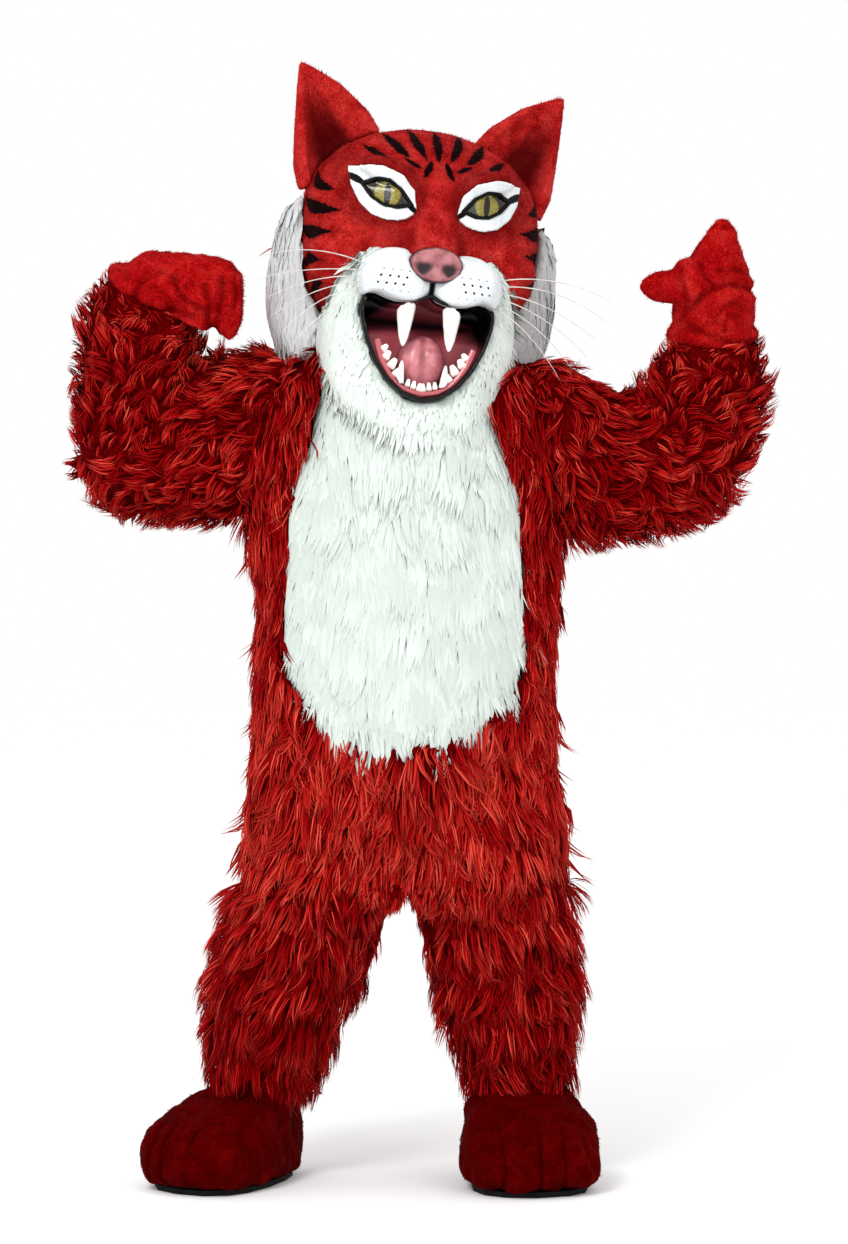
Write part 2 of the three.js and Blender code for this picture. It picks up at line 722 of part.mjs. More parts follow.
function almond(sign, grow) {
  const cx = eye.x;
  const cz = eye.z;
  const at = ([x, z]) => {
    const dx = x - cx;
    const dz = z - cz;
    const away = Math.hypot(dx, dz);
    return [sign * (cx + dx * (1 + grow / away)), cz + dz * (1 + grow / away)];
  };
  const [ix, iz] = at(eye.inner);
  const [ox, oz] = at(eye.outer);
  const [tx, tz] = at([cx - 4, eye.top + 12]);
  const [lx, lz] = at([cx + 8, eye.low - 10]);
  const shape = new THREE.Shape();
  shape.moveTo(ix, iz);
  shape.quadraticCurveTo(tx, tz, ox, oz);
  shape.quadraticCurveTo(lx, lz, ix, iz);
  return shape;
}

// The patch is a rounded drop: broad towards the nose, its point up at the temple.
function patchOutline(sign) {
  const shape = new THREE.Shape();
  shape.moveTo(sign * 36, 66);
  shape.bezierCurveTo(sign * 34, 112, sign * 76, 140, sign * 152, 132);
  shape.bezierCurveTo(sign * 150, 84, sign * 122, 44, sign * 84, 42);
  shape.bezierCurveTo(sign * 58, 40, sign * 38, 50, sign * 36, 66);
  return shape;
}
const patchThick = 6;
const rimThick = 9;
const overFace = (thick) => faceForm(thick).subtract(offFace);
const eyeBlock = (shape) => acrossY(shape, -reach, -20, 4);
const patchLayer = overFace(patchThick);
const rimLayer = overFace(rimThick);
for (const side of ["left", "right"]) {
  const sign = side === "left" ? 1 : -1;
  const patch = eyeBlock(patchOutline(sign))
    .intersect(patchLayer)
    .subtract(eyeBlock(almond(sign, rimWide + seam)));
  mesh("eye_patch_" + side, patch, materials.whitePlush, head);
  const rim = eyeBlock(almond(sign, rimWide)).subtract(eyeBlock(almond(sign, 0)));
  mesh("eye_rim_" + side, rim.intersect(rimLayer), materials.lipVinyl, head);
  mesh("eye_" + side, eyeBlock(almond(sign, -seam)).intersect(patchLayer), materials.eyeYellow, head);
}

// Ears: a leaf hollowed from the front, on the skull's upper corners.
const earRows = [
  { x: 136, y: 42, z: 122, radius: 88, deep: 44 },
  { x: 151, y: 42, z: 165, radius: 88, deep: 41 },
  { x: 172, y: 43, z: 215, radius: 72, deep: 33 },
  { x: 200, y: 45, z: 264, radius: 46, deep: 21 },
  { x: 224, y: 47, z: 298, radius: 20, deep: 12 },
  { x: 237, y: 48, z: 317, radius: 4, deep: 4 },
];
const earHollow = { rows: 5, wide: 0.82, deep: 1.35, back: 7, forward: 2 };
for (const side of ["left", "right"]) {
  const sign = side === "left" ? 1 : -1;
  const rows = earRows.map((row) => ({ ...row, x: sign * row.x }));
  const hollow = rows.slice(0, earHollow.rows).map((row) => ({
    ...row,
    y: row.y - row.deep - earHollow.forward,
    radius: row.radius * earHollow.wide,
    deep: row.deep * earHollow.deep - earHollow.back,
  }));
  const ear = limb(rows, 14).subtract(limb(hollow, 10)).subtract(offFace);
  mesh("ear_" + side, ear, materials.redPlush, head);
}

// Mouth: a black lining with its lips, a tongue, two fangs, the lower canines and a row of teeth.
const lipProud = 4;
const mouthFront = join(faceForm(lipProud), levels(beardRows, 18, lipProud));
const lining = [offNose, ...offMuzzle].reduce(
  (left, cut) => left.subtract(cut),
  mouthSpace(mouthWall).intersect(mouthFront).subtract(mouthSpace(0)),
);
mesh("mouth_lining", lining, materials.lipVinyl, head);
const inMouth = mouthSpace(-seam);

// A shape swept along a curve in the head.
function sweep(curve, radius, sides, steps) {
  const section = new THREE.Shape(
    Array.from({ length: sides }, (_, i) => {
      const angle = (2 * Math.PI * i) / sides;
      return new THREE.Vector2(radius * Math.cos(angle), radius * Math.sin(angle));
    }),
  );
  return solid(new THREE.ExtrudeGeometry(section, { extrudePath: curve, steps, bevelEnabled: false }));
}
const jawTeeth = { radius: 8, y: -146, side: 84, topZ: -162, lowZ: -249 };
function jawCurve() {
  const { y, side, topZ, lowZ } = jawTeeth;
  return new THREE.CatmullRomCurve3(
    [
      [-side, topZ],
      [-side * 0.86, topZ - 34],
      [-side * 0.5, lowZ + 12],
      [0, lowZ],
      [side * 0.5, lowZ + 12],
      [side * 0.86, topZ - 34],
      [side, topZ],
    ].map(([x, z]) => new THREE.Vector3(x, y, z)),
  );
}
mesh("teeth_lower", sweep(jawCurve(), jawTeeth.radius, 6, 16).intersect(inMouth), materials.tooth, head);
const offJawTeeth = sweep(jawCurve(), jawTeeth.radius + 2 * seam, 6, 16);
const tongueForm = { x: 0, y: -116, z: -196, a: 42, b: 32, c: 50 };
const tongue = pad(tongueForm, 1, 0, 12).intersect(inMouth).subtract(offJawTeeth);
mesh("tongue", tongue, materials.mouthPink, head);

const fang = { x: 40, y: -146, topZ: -92, tipZ: -170, radius: 15 };
const canine = { x: 38, y: -146, topZ: -236, tipZ: -196, radius: 6.2 };
const toothTip = { radius: 1.2, forward: 5, taper: 0.62, flat: 0.9 };
function tooth({ x, y, topZ, tipZ, radius }) {
  const low = Math.min(topZ, tipZ);
  const high = Math.max(topZ, tipZ);
  const rows = [0, 0.4, 0.8, 1].map((t) => {
    const wide = radius * (1 - t) ** toothTip.taper + toothTip.radius;
    const z = topZ + (tipZ - topZ) * t;
    return { z, x, y: y - toothTip.forward * t, wide, deep: wide * toothTip.flat, square: 2 };
  });
  return levels(low === topZ ? rows : rows.reverse(), 8).intersect(box([-far, -far, low], [far, far, high]));
}
for (const side of ["left", "right"]) {
  const sign = side === "left" ? 1 : -1;
  const upper = offMuzzle.reduce(
    (left, cut) => left.subtract(cut),
    tooth({ ...fang, x: sign * fang.x }).intersect(inMouth),
  );
  const lower = tooth({ ...canine, x: sign * canine.x }).subtract(offJawTeeth);
  mesh("fang_" + side, upper, materials.tooth, head);
  mesh("canine_" + side, lower, materials.tooth, head);
}

// Whiskers fan out of each lobe, the lower ones shorter and hanging more.
const whisker = {
  count: 6,
  radius: 1,
  sides: 5,
  length: 214,
  shorter: 8, // each next one down
  highest: 3, // degrees above level
  fan: -8, // degrees to the next
  droop: 16,
  forward: -0.14,
  root: { x: 98, y: -150, z: -44, rowGap: 6.5 },
};
for (const side of ["left", "right"]) {
  const sign = side === "left" ? 1 : -1;
  for (let i = 0; i < whisker.count; i++) {
    const angle = THREE.MathUtils.degToRad(whisker.highest + whisker.fan * i);
    const long = whisker.length - whisker.shorter * i;
    const { x, y, z, rowGap } = whisker.root;
    const root = new THREE.Vector3(sign * (x + 3 * (i % 2)), y + 2 * i, z - rowGap * i);
    const away = new THREE.Vector3(sign * Math.cos(angle), whisker.forward, Math.sin(angle)).normalize();
    const middle = root.clone().addScaledVector(away, long * 0.5);
    const tip = root.clone().addScaledVector(away, long);
    tip.z -= whisker.droop;
    const line = new THREE.QuadraticBezierCurve3(root, middle, tip);
    const hair = sweep(line, whisker.radius, whisker.sides, whisker.sides);
    const own = offMuzzle[side === "left" ? 0 : 1];
    mesh(`whisker_${side}_${i + 1}`, hair.subtract(own), materials.whisker, head);
  }
}

export default costume;
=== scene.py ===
import math

import bpy
import numpy as np
from mathutils import Matrix, Vector
from mathutils.bvhtree import BVHTree


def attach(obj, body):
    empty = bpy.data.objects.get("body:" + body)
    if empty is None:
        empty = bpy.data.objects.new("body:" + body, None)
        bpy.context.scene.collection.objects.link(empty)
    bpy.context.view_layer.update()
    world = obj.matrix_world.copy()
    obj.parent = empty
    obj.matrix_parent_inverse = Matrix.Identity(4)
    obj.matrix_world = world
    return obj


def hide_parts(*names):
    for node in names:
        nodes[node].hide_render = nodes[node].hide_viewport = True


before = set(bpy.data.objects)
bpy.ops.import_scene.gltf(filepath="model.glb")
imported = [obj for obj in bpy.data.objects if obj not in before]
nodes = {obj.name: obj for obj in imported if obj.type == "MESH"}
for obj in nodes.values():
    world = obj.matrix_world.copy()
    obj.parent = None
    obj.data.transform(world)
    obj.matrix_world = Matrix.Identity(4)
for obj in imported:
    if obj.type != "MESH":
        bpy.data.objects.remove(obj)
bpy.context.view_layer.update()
bpy.ops.object.select_all(action="DESELECT")
print("frame loaded:", len(nodes), "nodes")


def linear(hexColour):
    # sRGB hex to linear RGBA
    parts = [int(hexColour[i:i + 2], 16) / 255 for i in (1, 3, 5)]
    return [c / 12.92 if c <= 0.04045 else ((c + 0.055) / 1.055) ** 2.4 for c in parts] + [1.0]


def only(obj):
    # one object selected and active
    bpy.ops.object.select_all(action="DESELECT")
    obj.select_set(True)
    bpy.context.view_layer.objects.active = obj
    return obj


def placed(name, data):
    # a new object in the scene
    made = bpy.data.objects.new(name, data)
    bpy.context.scene.collection.objects.link(made)
    return made


def edited(obj, operator, **settings):
    # one mesh operator over the whole of an object
    only(obj)
    bpy.ops.object.mode_set(mode="EDIT")
    bpy.ops.mesh.select_all(action="SELECT")
    operator(**settings)
    bpy.ops.object.mode_set(mode="OBJECT")


def finishWith(obj, kind, **settings):
    # a modifier put on and applied straight away
    only(obj)
    made = obj.modifiers.new(kind.lower(), kind)
    for key, value in settings.items():
        setattr(made, key, value)
    bpy.ops.object.modifier_apply(modifier=made.name)


def readPoints(obj):
    # where the vertices are, and their normals
    both = []
    for field in ("co", "normal"):
        values = np.empty(len(obj.data.vertices) * 3, np.float32)
        obj.data.vertices.foreach_get(field, values)
        both.append(values.reshape(-1, 3).astype(float))
    return both


def writePoints(obj, places):
    obj.data.vertices.foreach_set("co", places.astype(np.float32).ravel())
    obj.data.update()


def keepFloats(obj, label, values):
    layer = obj.data.attributes.new(label, "FLOAT", "POINT")
    layer.data.foreach_set("value", np.asarray(values).astype(np.float32))


def treeOf(mesh):
    return BVHTree.FromPolygons([v.co for v in mesh.vertices], [tuple(f.vertices) for f in mesh.polygons])


def settle(piece, finish, slotName, *nodeNames, fill=None):
    # its finish, and the solids that it stands for; its place in the table (slotName) is not used, and its fill is
    # not used
    piece.data.materials.append(finish)
    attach(piece, "root")
    if nodeNames:
        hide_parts(*nodeNames)
    return piece


def unit(vectors):
    return vectors / np.maximum(np.linalg.norm(vectors, axis=1, keepdims=True), 1e-9)


def smoothStep(low, high, value):
    t = np.clip((value - low) / (high - low), 0, 1)
    return t * t * (3 - 2 * t)


def waves(points, size, seed, count=6):
    # soft unevenness of about 1, its bumps roughly that many metres apart
    rng = np.random.default_rng(seed)
    ways = unit(rng.normal(size=(count, 3))) * (2 * math.pi / size * rng.uniform(0.7, 1.4, count))[:, None]
    return np.sin(points @ ways.T + rng.uniform(0, 2 * math.pi, count)).sum(1) / math.sqrt(count / 2)


def alongLine(points, line):
    # the nearest place on a line of points, how far it is, and the line's direction there
    best = np.full(len(points), np.inf)
    nearest, ways = np.zeros_like(points), np.zeros_like(points)
    for a, b in zip(line[:-1], line[1:]):
        a, b = np.array(a), np.array(b)
        run = b - a
        t = np.clip((points - a) @ run / (run @ run), 0, 1)
        place = a + t[:, None] * run
        gap = np.linalg.norm(points - place, axis=1)
        closer = gap < best
        best[closer] = gap[closer]
        nearest[closer] = place[closer]
        ways[closer] = run / np.linalg.norm(run)
    return nearest, best, ways


def sideOf(points):
    # whose piece the points are on: the wearer's left is +X
    return "left" if points[:, 0].mean() > 0 else "right"


def camelCase(name):
    first, *rest = name.split("_")
    return first + "".join(part.capitalize() for part in rest)


def material(name):
    made = bpy.data.materials.new(name)
    made.use_nodes = True
    made.node_tree.nodes.clear()
    return made, made.node_tree


def node(tree, kind, inputs=(), stops=(), **settings):
    # one node: its inputs by name or in order, each a value, a node or (node, output), and its settings
    made = tree.nodes.new("ShaderNode" + kind)
    for key, value in settings.items():
        setattr(made, key, value)
    for key, value in inputs.items() if isinstance(inputs, dict) else enumerate(inputs):
        source = value if isinstance(value, tuple) else (value, 0)
        if isinstance(source[0], bpy.types.Node):
            tree.links.new(source[0].outputs[source[1]], made.inputs[key])
        else:
            made.inputs[key].default_value = value
    if stops:
        elements = made.color_ramp.elements
        elements.remove(elements[-1])
        elements[0].position, elements[0].color = stops[0][0], linear(stops[0][1])
        for place, colour in stops[1:]:
            elements.new(place).color = linear(colour)
    return made


def layered(tree, colour, marks):
    # each mark's colour laid over what is below it, by its own amount: a Mix has its colours at 6 and 7, and its
    # result at 2
    for amount, mark in marks(tree) if marks else []:
        colour = node(tree, "Mix", {0: amount, 6: colour, 7: mark}, data_type="RGBA"), 2
    return colour


# Acrylic shag: long crimped fibres in pointed locks, painted dull and dark at the roots as painted shade, and bright
# at the tips as painted light.
def shagMaterial(name, shag):
    made, tree = material(name)
    along, across, tone = (node(tree, "Attribute", attribute_name=label) for label in ("along", "across", "tone"))
    # fibres are 0.05 mm; they are drawn as strands about 1.5 mm wide so that they show
    shift = node(tree, "Math", ((tone, "Fac"), 91.0), operation="MULTIPLY")
    place = node(tree, "CombineXYZ", {"X": (across, "Fac"), "Y": shift, "Z": (along, "Fac")})
    stretch = node(tree, "Mapping", {"Vector": place, "Scale": (3.6, 1.0, 1.1)})
    fibres = node(tree, "TexNoise", {"Vector": stretch, "Scale": 1.0, "Detail": 2.0, "Roughness": 0.6})
    # where on the root-to-tip colours a place is read: painted shade at the roots and painted light at the tips,
    # moved by its lock's tone (its own, with painted light and shade by place and painted glints) and its fibres
    rootShadeTipLight = node(tree, "Math", ((along, "Fac"), 0.32), operation="MULTIPLY")
    toned = node(tree, "Math", ((tone, "Fac"), 0.42, rootShadeTipLight), operation="MULTIPLY_ADD")
    read = node(tree, "Math", ((fibres, "Fac"), 0.55, toned), operation="MULTIPLY_ADD")
    colour = node(tree, "ValToRGB", {"Fac": read}, stops=shag["colours"])
    skin = node(tree, "BsdfPrincipled", {
        "Base Color": colour, "Roughness": shag["roughness"], "Specular IOR Level": shag["gloss"],
        "Specular Tint": linear(shag["shine"])})
    node(tree, "OutputMaterial", {"Surface": skin})
    return made


# Knitted acrylic backing: the dull cloth that shows between the locks; where it is coloured dark, that is painted
# shade for the deep gaps there.
def backingMaterial(name, colours):
    made, tree = material(name)
    place = node(tree, "TexCoord")
    # knitted loops 4 mm apart, coarser than the real 1.5 mm so that they show
    loops = node(tree, "TexNoise", {"Vector": (place, "Object"), "Scale": 250.0, "Detail": 3.0})
    colour = node(tree, "ValToRGB", {"Fac": (loops, 0)}, stops=colours)
    lump = node(tree, "Bump", {"Height": loops, "Strength": 0.6, "Distance": 0.002})
    skin = node(tree, "BsdfPrincipled", {
        "Base Color": colour, "Normal": lump, "Roughness": 0.95, "Specular IOR Level": 0.02,
        "Specular Tint": linear(colours[-1][1])})
    node(tree, "OutputMaterial", {"Surface": skin})
    return made


redShag = shagMaterial("redShag", {
    "colours": [(0.2, "#380000"), (0.4, "#740004"), (0.6, "#96060A"), (0.82, "#C0261F"), (1.0, "#DE4E3E")],
    "shine": "#E8503A", "roughness": 0.55, "gloss": 0.05})
whiteShag = shagMaterial("whiteShag", {
    "colours": [(0.2, "#B7C1BA"), (0.5, "#BFC9C2"), (0.9, "#D8E1DA")],
    "shine": "#FFFFFF", "roughness": 0.8, "gloss": 0.08})
# the ruffs' shag is a greyer copy of the white one, painted grey as shade on the sides of the head
ruffShag = shagMaterial("ruffShag", {
    "colours": [(0.2, "#A6A6A8"), (0.5, "#BDBDBF"), (0.9, "#D6D7D7")],
    "shine": "#FFFFFF", "roughness": 0.8, "gloss": 0.06})
# the red backing is painted dark, as painted shade in the gaps between the locks
redBacking = backingMaterial("redBacking", [(0.3, "#3E0001"), (0.75, "#6A0204")])
whiteBacking = backingMaterial("whiteBacking", [(0.3, "#BDC7C0"), (0.75, "#C9D3CC")])
# and its backing, painted greyer as shade in the same way
ruffBacking = backingMaterial("ruffBacking", [(0.3, "#B0B0B2"), (0.75, "#C2C2C4")])
backings = {"redShag": redBacking, "whiteShag": whiteBacking, "ruffShag": ruffBacking}
print("shag and backing materials made")


def formFrom(nodeNames, name, voxel, softening, thinned=1.0, swell=0.0):
    # a rounded copy of one or more CAD solids: one closed mesh, that share of its faces kept, swollen by its pile
    parts = [placed(name, nodes[nodeName].data.copy()) for nodeName in nodeNames]
    made = only(parts[0])
    if len(parts) > 1:
        for part in parts:
            part.select_set(True)
        bpy.ops.object.join()
    edited(made, bpy.ops.mesh.remove_doubles, threshold=0.00001)
    finishWith(made, "REMESH", mode="VOXEL", voxel_size=voxel, adaptivity=0.0)
    finishWith(made, "SMOOTH", factor=0.5, iterations=softening)
    if thinned < 1:
        finishWith(made, "DECIMATE", ratio=thinned)
    made.data.materials.clear()
    bpy.ops.object.shade_smooth()
    places, normals = readPoints(made)
    writePoints(made, places + normals * swell)
    return made


def facingOut(places, normals, line):
    # 1 where a place faces straight away from its piece's middle line, -1 on the hollow side; and the way out
    away = unit(places - alongLine(places, line)[0])
    return (normals * away).sum(1), away


clothSettings = {
    "form": {"voxel": 0.011, "softening": 3, "thinned": 0.5},
    # how far it faces out where it is drawn in for the locks, and faces in where its hollow side gives way
    "outer": (-0.35, 0.25), "inner": (0.1, 0.6), "innerDraw": 0.003, "rim": 0.55,
}


def clothFrom(nodeName, name, line, style, folds):
    # the panel's own form, rounded, and drawn in to leave room for the locks
    made = formFrom([nodeName], name, **clothSettings["form"])
    places, normals = readPoints(made)
    facing, away = facingOut(places, normals, line)
    drawn = style["draw"] * smoothStep(*clothSettings["outer"], facing)
    drawn -= clothSettings["innerDraw"] * smoothStep(*clothSettings["inner"], -facing)
    # its cut edges go back to the seams, so that neighbours meet
    tree = treeOf(nodes[nodeName].data)
    for index in np.nonzero(np.abs(facing) < clothSettings["rim"])[0]:
        seat = tree.find_nearest(Vector(places[index]))[0]
        if seat is not None:
            places[index] = np.array(seat) + normals[index] * style["seam"]
    places -= away * drawn[:, None]
    if folds:
        places += away * folds(places)[:, None]
    writePoints(made, places)
    return made


def outwardSamples(obj, line, perArea, facingLeast, seed, keep):
    # random places on the outward side, with their smooth normals, and the area that they lie on
    rng = np.random.default_rng(seed)
    places, normals = readPoints(obj)
    obj.data.calc_loop_triangles()
    corners = np.empty(len(obj.data.loop_triangles) * 3, np.int32)
    obj.data.loop_triangles.foreach_get("vertices", corners)
    corners = corners.reshape(-1, 3)
    a, b, c = places[corners.T]
    cross = np.cross(b - a, c - a)
    areas = np.linalg.norm(cross, axis=1) / 2
    facing = facingOut((a + b + c) / 3, unit(cross), line)[0]
    areas = np.where(facing > facingLeast, areas, 0)
    total = areas.sum()
    picked = rng.choice(len(areas), size=int(perArea * total), p=areas / total)
    u, v = rng.random(len(picked)), rng.random(len(picked))
    over = u + v > 1
    u[over], v[over] = 1 - u[over], 1 - v[over]
    weights = np.stack([1 - u - v, u, v], axis=1)[:, :, None]
    points, ups = ((values[corners[picked]] * weights).sum(1) for values in (places, normals))
    ups = unit(ups)
    if keep:
        held = keep(points, ups)
        points, ups = points[held], ups[held]
    return points, ups, total


def spacedOut(points, gap):
    # keeps points that are at least a gap apart, first come first kept; each cell of a grid has a number of its own
    stride = 4099
    places = np.array([stride * stride, stride, 1])
    keys = np.floor(points / gap).astype(np.int64) @ places
    steps = [(i * stride + j) * stride + k for i in (-1, 0, 1) for j in (-1, 0, 1) for k in (-1, 0, 1)]
    held, kept, least = {}, [], gap * gap
    for index, (key, (x, y, z)) in enumerate(zip(keys.tolist(), points.tolist())):
        for step in steps:
            other = held.get(key + step)
            if other and (other[0] - x) ** 2 + (other[1] - y) ** 2 + (other[2] - z) ** 2 < least:
                break
        else:
            held[key] = (x, y, z)
            kept.append(index)
    return np.array(kept)


def strandMesh(batches, name, ridge, soft=0.0):
    # closed strands with pointed tips; each batch: spines (n, steps, 3), sides, ups and aways (n, 3), widths
    # (n, steps) and tones (n). A soft pile takes that share of its shading from the form that it lies on
    places, faces, along, across, tones, shading = [], [], [], [], [], []
    start = 0
    for spines, sides, ups, aways, widths, tone in batches:
        count, steps = spines.shape[:2]
        first = 1 if steps > 2 else 0  # a short hair is cut square at its root, a longer lock is pointed there too
        rings = steps - 1 - first
        body, half = spines[:, first:-1], widths[:, first:-1, None] / 2
        ring = np.stack([body - sides[:, None] * half, body + sides[:, None] * half,
                         body + ups[:, None] * half * ridge], axis=2).reshape(count, -1, 3)
        points = np.concatenate([spines[:, :first], ring, spines[:, -1:]], axis=1)
        each, last = points.shape[1], 3 * (rings - 1)
        pattern = [] if first else [[0, 2, 1]]
        for i in range(3):
            a, b = first + i, first + (i + 1) % 3
            if first:
                pattern.append([0, b, a])
            for r in range(0, last, 3):
                pattern += [[a + r, b + r + 3, a + r + 3], [a + r, b + r, b + r + 3]]
            pattern.append([a + last, b + last, each - 1])
        faces.append((start + np.arange(count)[:, None, None] * each + np.array(pattern)[None]).reshape(-1, 3))
        places.append(points.reshape(-1, 3))
        share = np.linspace(0, 1, steps)
        along.append(np.tile(np.concatenate([share[:first], np.repeat(share[first:-1], 3), [1.0]]), count))
        across.append(np.tile(np.concatenate([[0.5] * first, np.tile([0.0, 1.0, 0.5], rings), [0.5]]), count))
        tones.append(np.repeat(tone, each))
        shading.append(np.repeat(aways, each, axis=0))
        start += count * each
    places, faces = np.concatenate(places), np.concatenate(faces)
    mesh = bpy.data.meshes.new(name)
    mesh.vertices.add(len(places))
    mesh.vertices.foreach_set("co", places.astype(np.float32).ravel())
    mesh.loops.add(len(faces) * 3)
    mesh.loops.foreach_set("vertex_index", faces.astype(np.int32).ravel())
    mesh.polygons.add(len(faces))
    mesh.polygons.foreach_set("loop_start", np.arange(0, len(faces) * 3, 3, dtype=np.int32))
    mesh.polygons.foreach_set("use_smooth", np.ones(len(faces), bool))
    mesh.update(calc_edges=True)
    made = placed(name, mesh)
    for label, values in (("along", along), ("across", across), ("tone", tones)):
        keepFloats(made, label, np.concatenate(values))
    if soft:
        own = readPoints(made)[1]
        mesh.normals_split_custom_set_from_vertices(unit(own * (1 - soft) + np.concatenate(shading) * soft))
    return made


# a lock is rooted this deep in its cloth
rootDepth = 0.002


def combed(roots, ups, ways, style, turns, seed):
    # the way each lock lies on the cloth after its swirl and its own turn, and the direction across it
    turn = style["swirl"] * waves(roots, style["swirlSize"], seed + 1) + turns
    cross = unit(np.cross(ups, ways))
    ways = unit(ways) * np.cos(turn)[:, None] + cross * np.sin(turn)[:, None]
    ways = unit(ways - ups * (ways * ups).sum(1)[:, None])
    return ways, unit(np.cross(ups, ways))


def lockSpines(steps, roots, ups, ways, sides, lengths, lifts, bends, style):
    # from root to tip: up and over, with an S-shaped crimp out to one side and back
    s = np.linspace(0, 1, steps)[None, :, None]
    reach = lengths[:, None, None]
    rise = np.sin(lifts)[:, None, None] * (s - style["fall"] * s ** 2)
    crimp = bends[:, None, None] * (s ** 2 - 1.5 * s * (1 - s))
    made = roots[:, None] - ups[:, None] * rootDepth
    made = made + reach * (ways[:, None] * np.cos(lifts)[:, None, None] * s + ups[:, None] * rise)
    made = made + reach * sides[:, None] * crimp
    made[..., 2] -= reach[..., 0] * style["droop"] * s[..., 0] ** 2
    return made


laidSettings = {"reach": 0.015, "edge": 0.004}


def laidOver(spines, cloth, heights):
    # brings every point of the strands to its height over the cloth, so that a flat pile follows the form
    tree = treeOf(cloth.data)
    points = spines.reshape(-1, 3)
    nearest = [tree.find_nearest(Vector(point))[:2] for point in points]
    seats, normals = (np.array(part) for part in zip(*nearest))
    above = ((points - seats) * normals).sum(1)
    # less where a strand reaches out past the edge
    past = np.linalg.norm(points - seats - normals * above[:, None], axis=1)
    reach = laidSettings["reach"]
    pull = np.clip(heights.reshape(-1) - above, -reach, reach) * np.exp(-(past / laidSettings["edge"]) ** 2)
    return (points + normals * pull[:, None]).reshape(spines.shape)


# how wide a lock is at each of its steps
lockShapes = {3: (0, 1.0, 0), 4: (0, 1.0, 0.72, 0)}
# how a pile varies from lock to lock, as shares of its style's own measures, radians and tones
pileVary = {
    "tries": 4.0, "length": 0.11, "lengths": (0.65, 1.35), "lifts": (-0.12, 1.25), "widths": (0.7, 1.3),
    "patchTone": 0.13, "patchSize": 0.06, "toTip": 1.4,
    # the fine strands: how far apart, how long and how bent; their tone is painted lighter than their locks', as
    # painted highlights
    "fineApart": 0.8, "fineLengths": (0.8, 1.15), "fineBend": 1.3, "fineBendVary": 0.08, "fineTone": 0.16,
}


def growPile(name, cloth, line, style, flow, seed, keep):
    # locks rooted all over the outward side, their tips gathered into tufts, with finer strands among them
    rng = np.random.default_rng(seed)
    points, normals, area = outwardSamples(cloth, line, pileVary["tries"] / style["gap"] ** 2, style["facing"],
                                           seed, keep)
    chosen = spacedOut(points, style["gap"])
    roots, ups = points[chosen], normals[chosen]
    flows = unit(flow(roots, ups, alongLine(roots, line)[2]))
    # at a lower edge the cloth turns under, and its locks hang straight down over the piece below
    aways = facingOut(roots, ups, line)[1]
    over = smoothStep(0.25, 0.7, (flows * ups).sum(1))[:, None]
    ups = unit(ups * (1 - over) + aways * over)
    # none where the cloth turns so far that a lock has no way to lie
    turned = (flows * ups).sum(1)
    lying = (turned > style["least"]) & (turned < 0.98)
    roots, ups, flows, aways = roots[lying], ups[lying], flows[lying], aways[lying]
    count = len(roots)
    heads = spacedOut(roots, style["tuft"])
    owner = np.argmin(((roots[:, None] - roots[heads][None]) ** 2).sum(2), axis=1)

    def shared(spread, own):
        # a random amount that a tuft's locks have in common, and a smaller one of each lock's own
        return rng.normal(0, spread, len(heads))[owner] + rng.normal(0, spread * own, count)

    turns = np.clip(shared(style["stray"], 0.5), -3 * style["stray"], 3 * style["stray"])
    ways, sides = combed(roots, ups, flows, style, turns, seed)
    longer, raised, paintedLight, closer = style["local"](roots) if style["local"] else (1.0, 0.0, 0.0, 0.0)
    gather = (style["gather"] + closer * np.ones(count))[:, None, None]
    lengths = style["length"] * longer * np.clip(1 + shared(pileVary["length"], 0.6), *pileVary["lengths"])
    lifts = np.clip(style["lift"] + raised + shared(style["liftVary"], 0.6), *pileVary["lifts"])
    bends = shared(style["bend"], 0.4)
    # painted glints: a share of the locks get fine strands painted much lighter, as painted highlights
    paintedGlint = style["glintTone"] * (rng.random(count) < style["glints"])
    patches = pileVary["patchTone"] * waves(roots, pileVary["patchSize"], seed + 3)
    # a lock's tone: its style's, painted light and shade by place, random patches and its own
    tones = style["tone"] + paintedLight + patches + shared(style["toneVary"], 0.8)
    aways = unit(ups + aways)
    base = (roots, ups, ways, sides)
    batches = []
    for turn in range(1 + style["strands"]):
        fine = turn > 0
        steps = style["fineSteps"] if fine else style["steps"]
        guide = lockSpines(steps, *base, lengths, lifts, bends, style)[heads][owner]
        if fine:
            offset = sides * rng.uniform(-1, 1, count)[:, None] + ways * rng.uniform(-1, 1, count)[:, None]
            base = (roots + offset * style["gap"] * pileVary["fineApart"], ups, ways, sides)
            spines = lockSpines(steps, *base, lengths * rng.uniform(*pileVary["fineLengths"], count),
                                lifts + rng.normal(0.5, 1.0, count) * style["fineLift"],
                                bends * pileVary["fineBend"] + rng.normal(0, pileVary["fineBendVary"], count), style)
            widths = style["fineWidth"]
            # painted highlights: the fine strands are lighter than their locks, and some carry painted glints
            tone = tones + paintedGlint + rng.normal(pileVary["fineTone"], style["fineVary"], count)
        else:
            spines = lockSpines(steps, *base, lengths, lifts, bends, style)
            widths, tone = style["width"], tones
        s = np.linspace(0, 1, steps)[None, :, None]
        spines += (guide - spines) * gather * s ** pileVary["toTip"]
        if style["laid"]:
            flat = s[..., 0]
            rise = (lengths * np.sin(lifts))[:, None] * (flat - style["fall"] * flat ** 2)
            spines = laidOver(spines, cloth, rise + style["laid"] * np.minimum(flat * 4, 1) - rootDepth)
        widths = widths * rng.uniform(*pileVary["widths"], count)[:, None] * np.array(lockShapes[steps])
        batches.append((spines, sides, ups, aways, widths, np.clip(tone, 0, 1.3)))
    made = strandMesh(batches, name, style["ridge"], style["soft"])
    print(f"{name}: {count} locks, {len(made.data.polygons)} triangles on {area:.3f} m2")
    return made


napVary = {"lengths": (0.7, 1.25), "lifts": (0.08, 1.3), "widths": (0.7, 1.3), "patchTone": 0.22, "tone": 0.2,
           "rootDepth": 0.001}


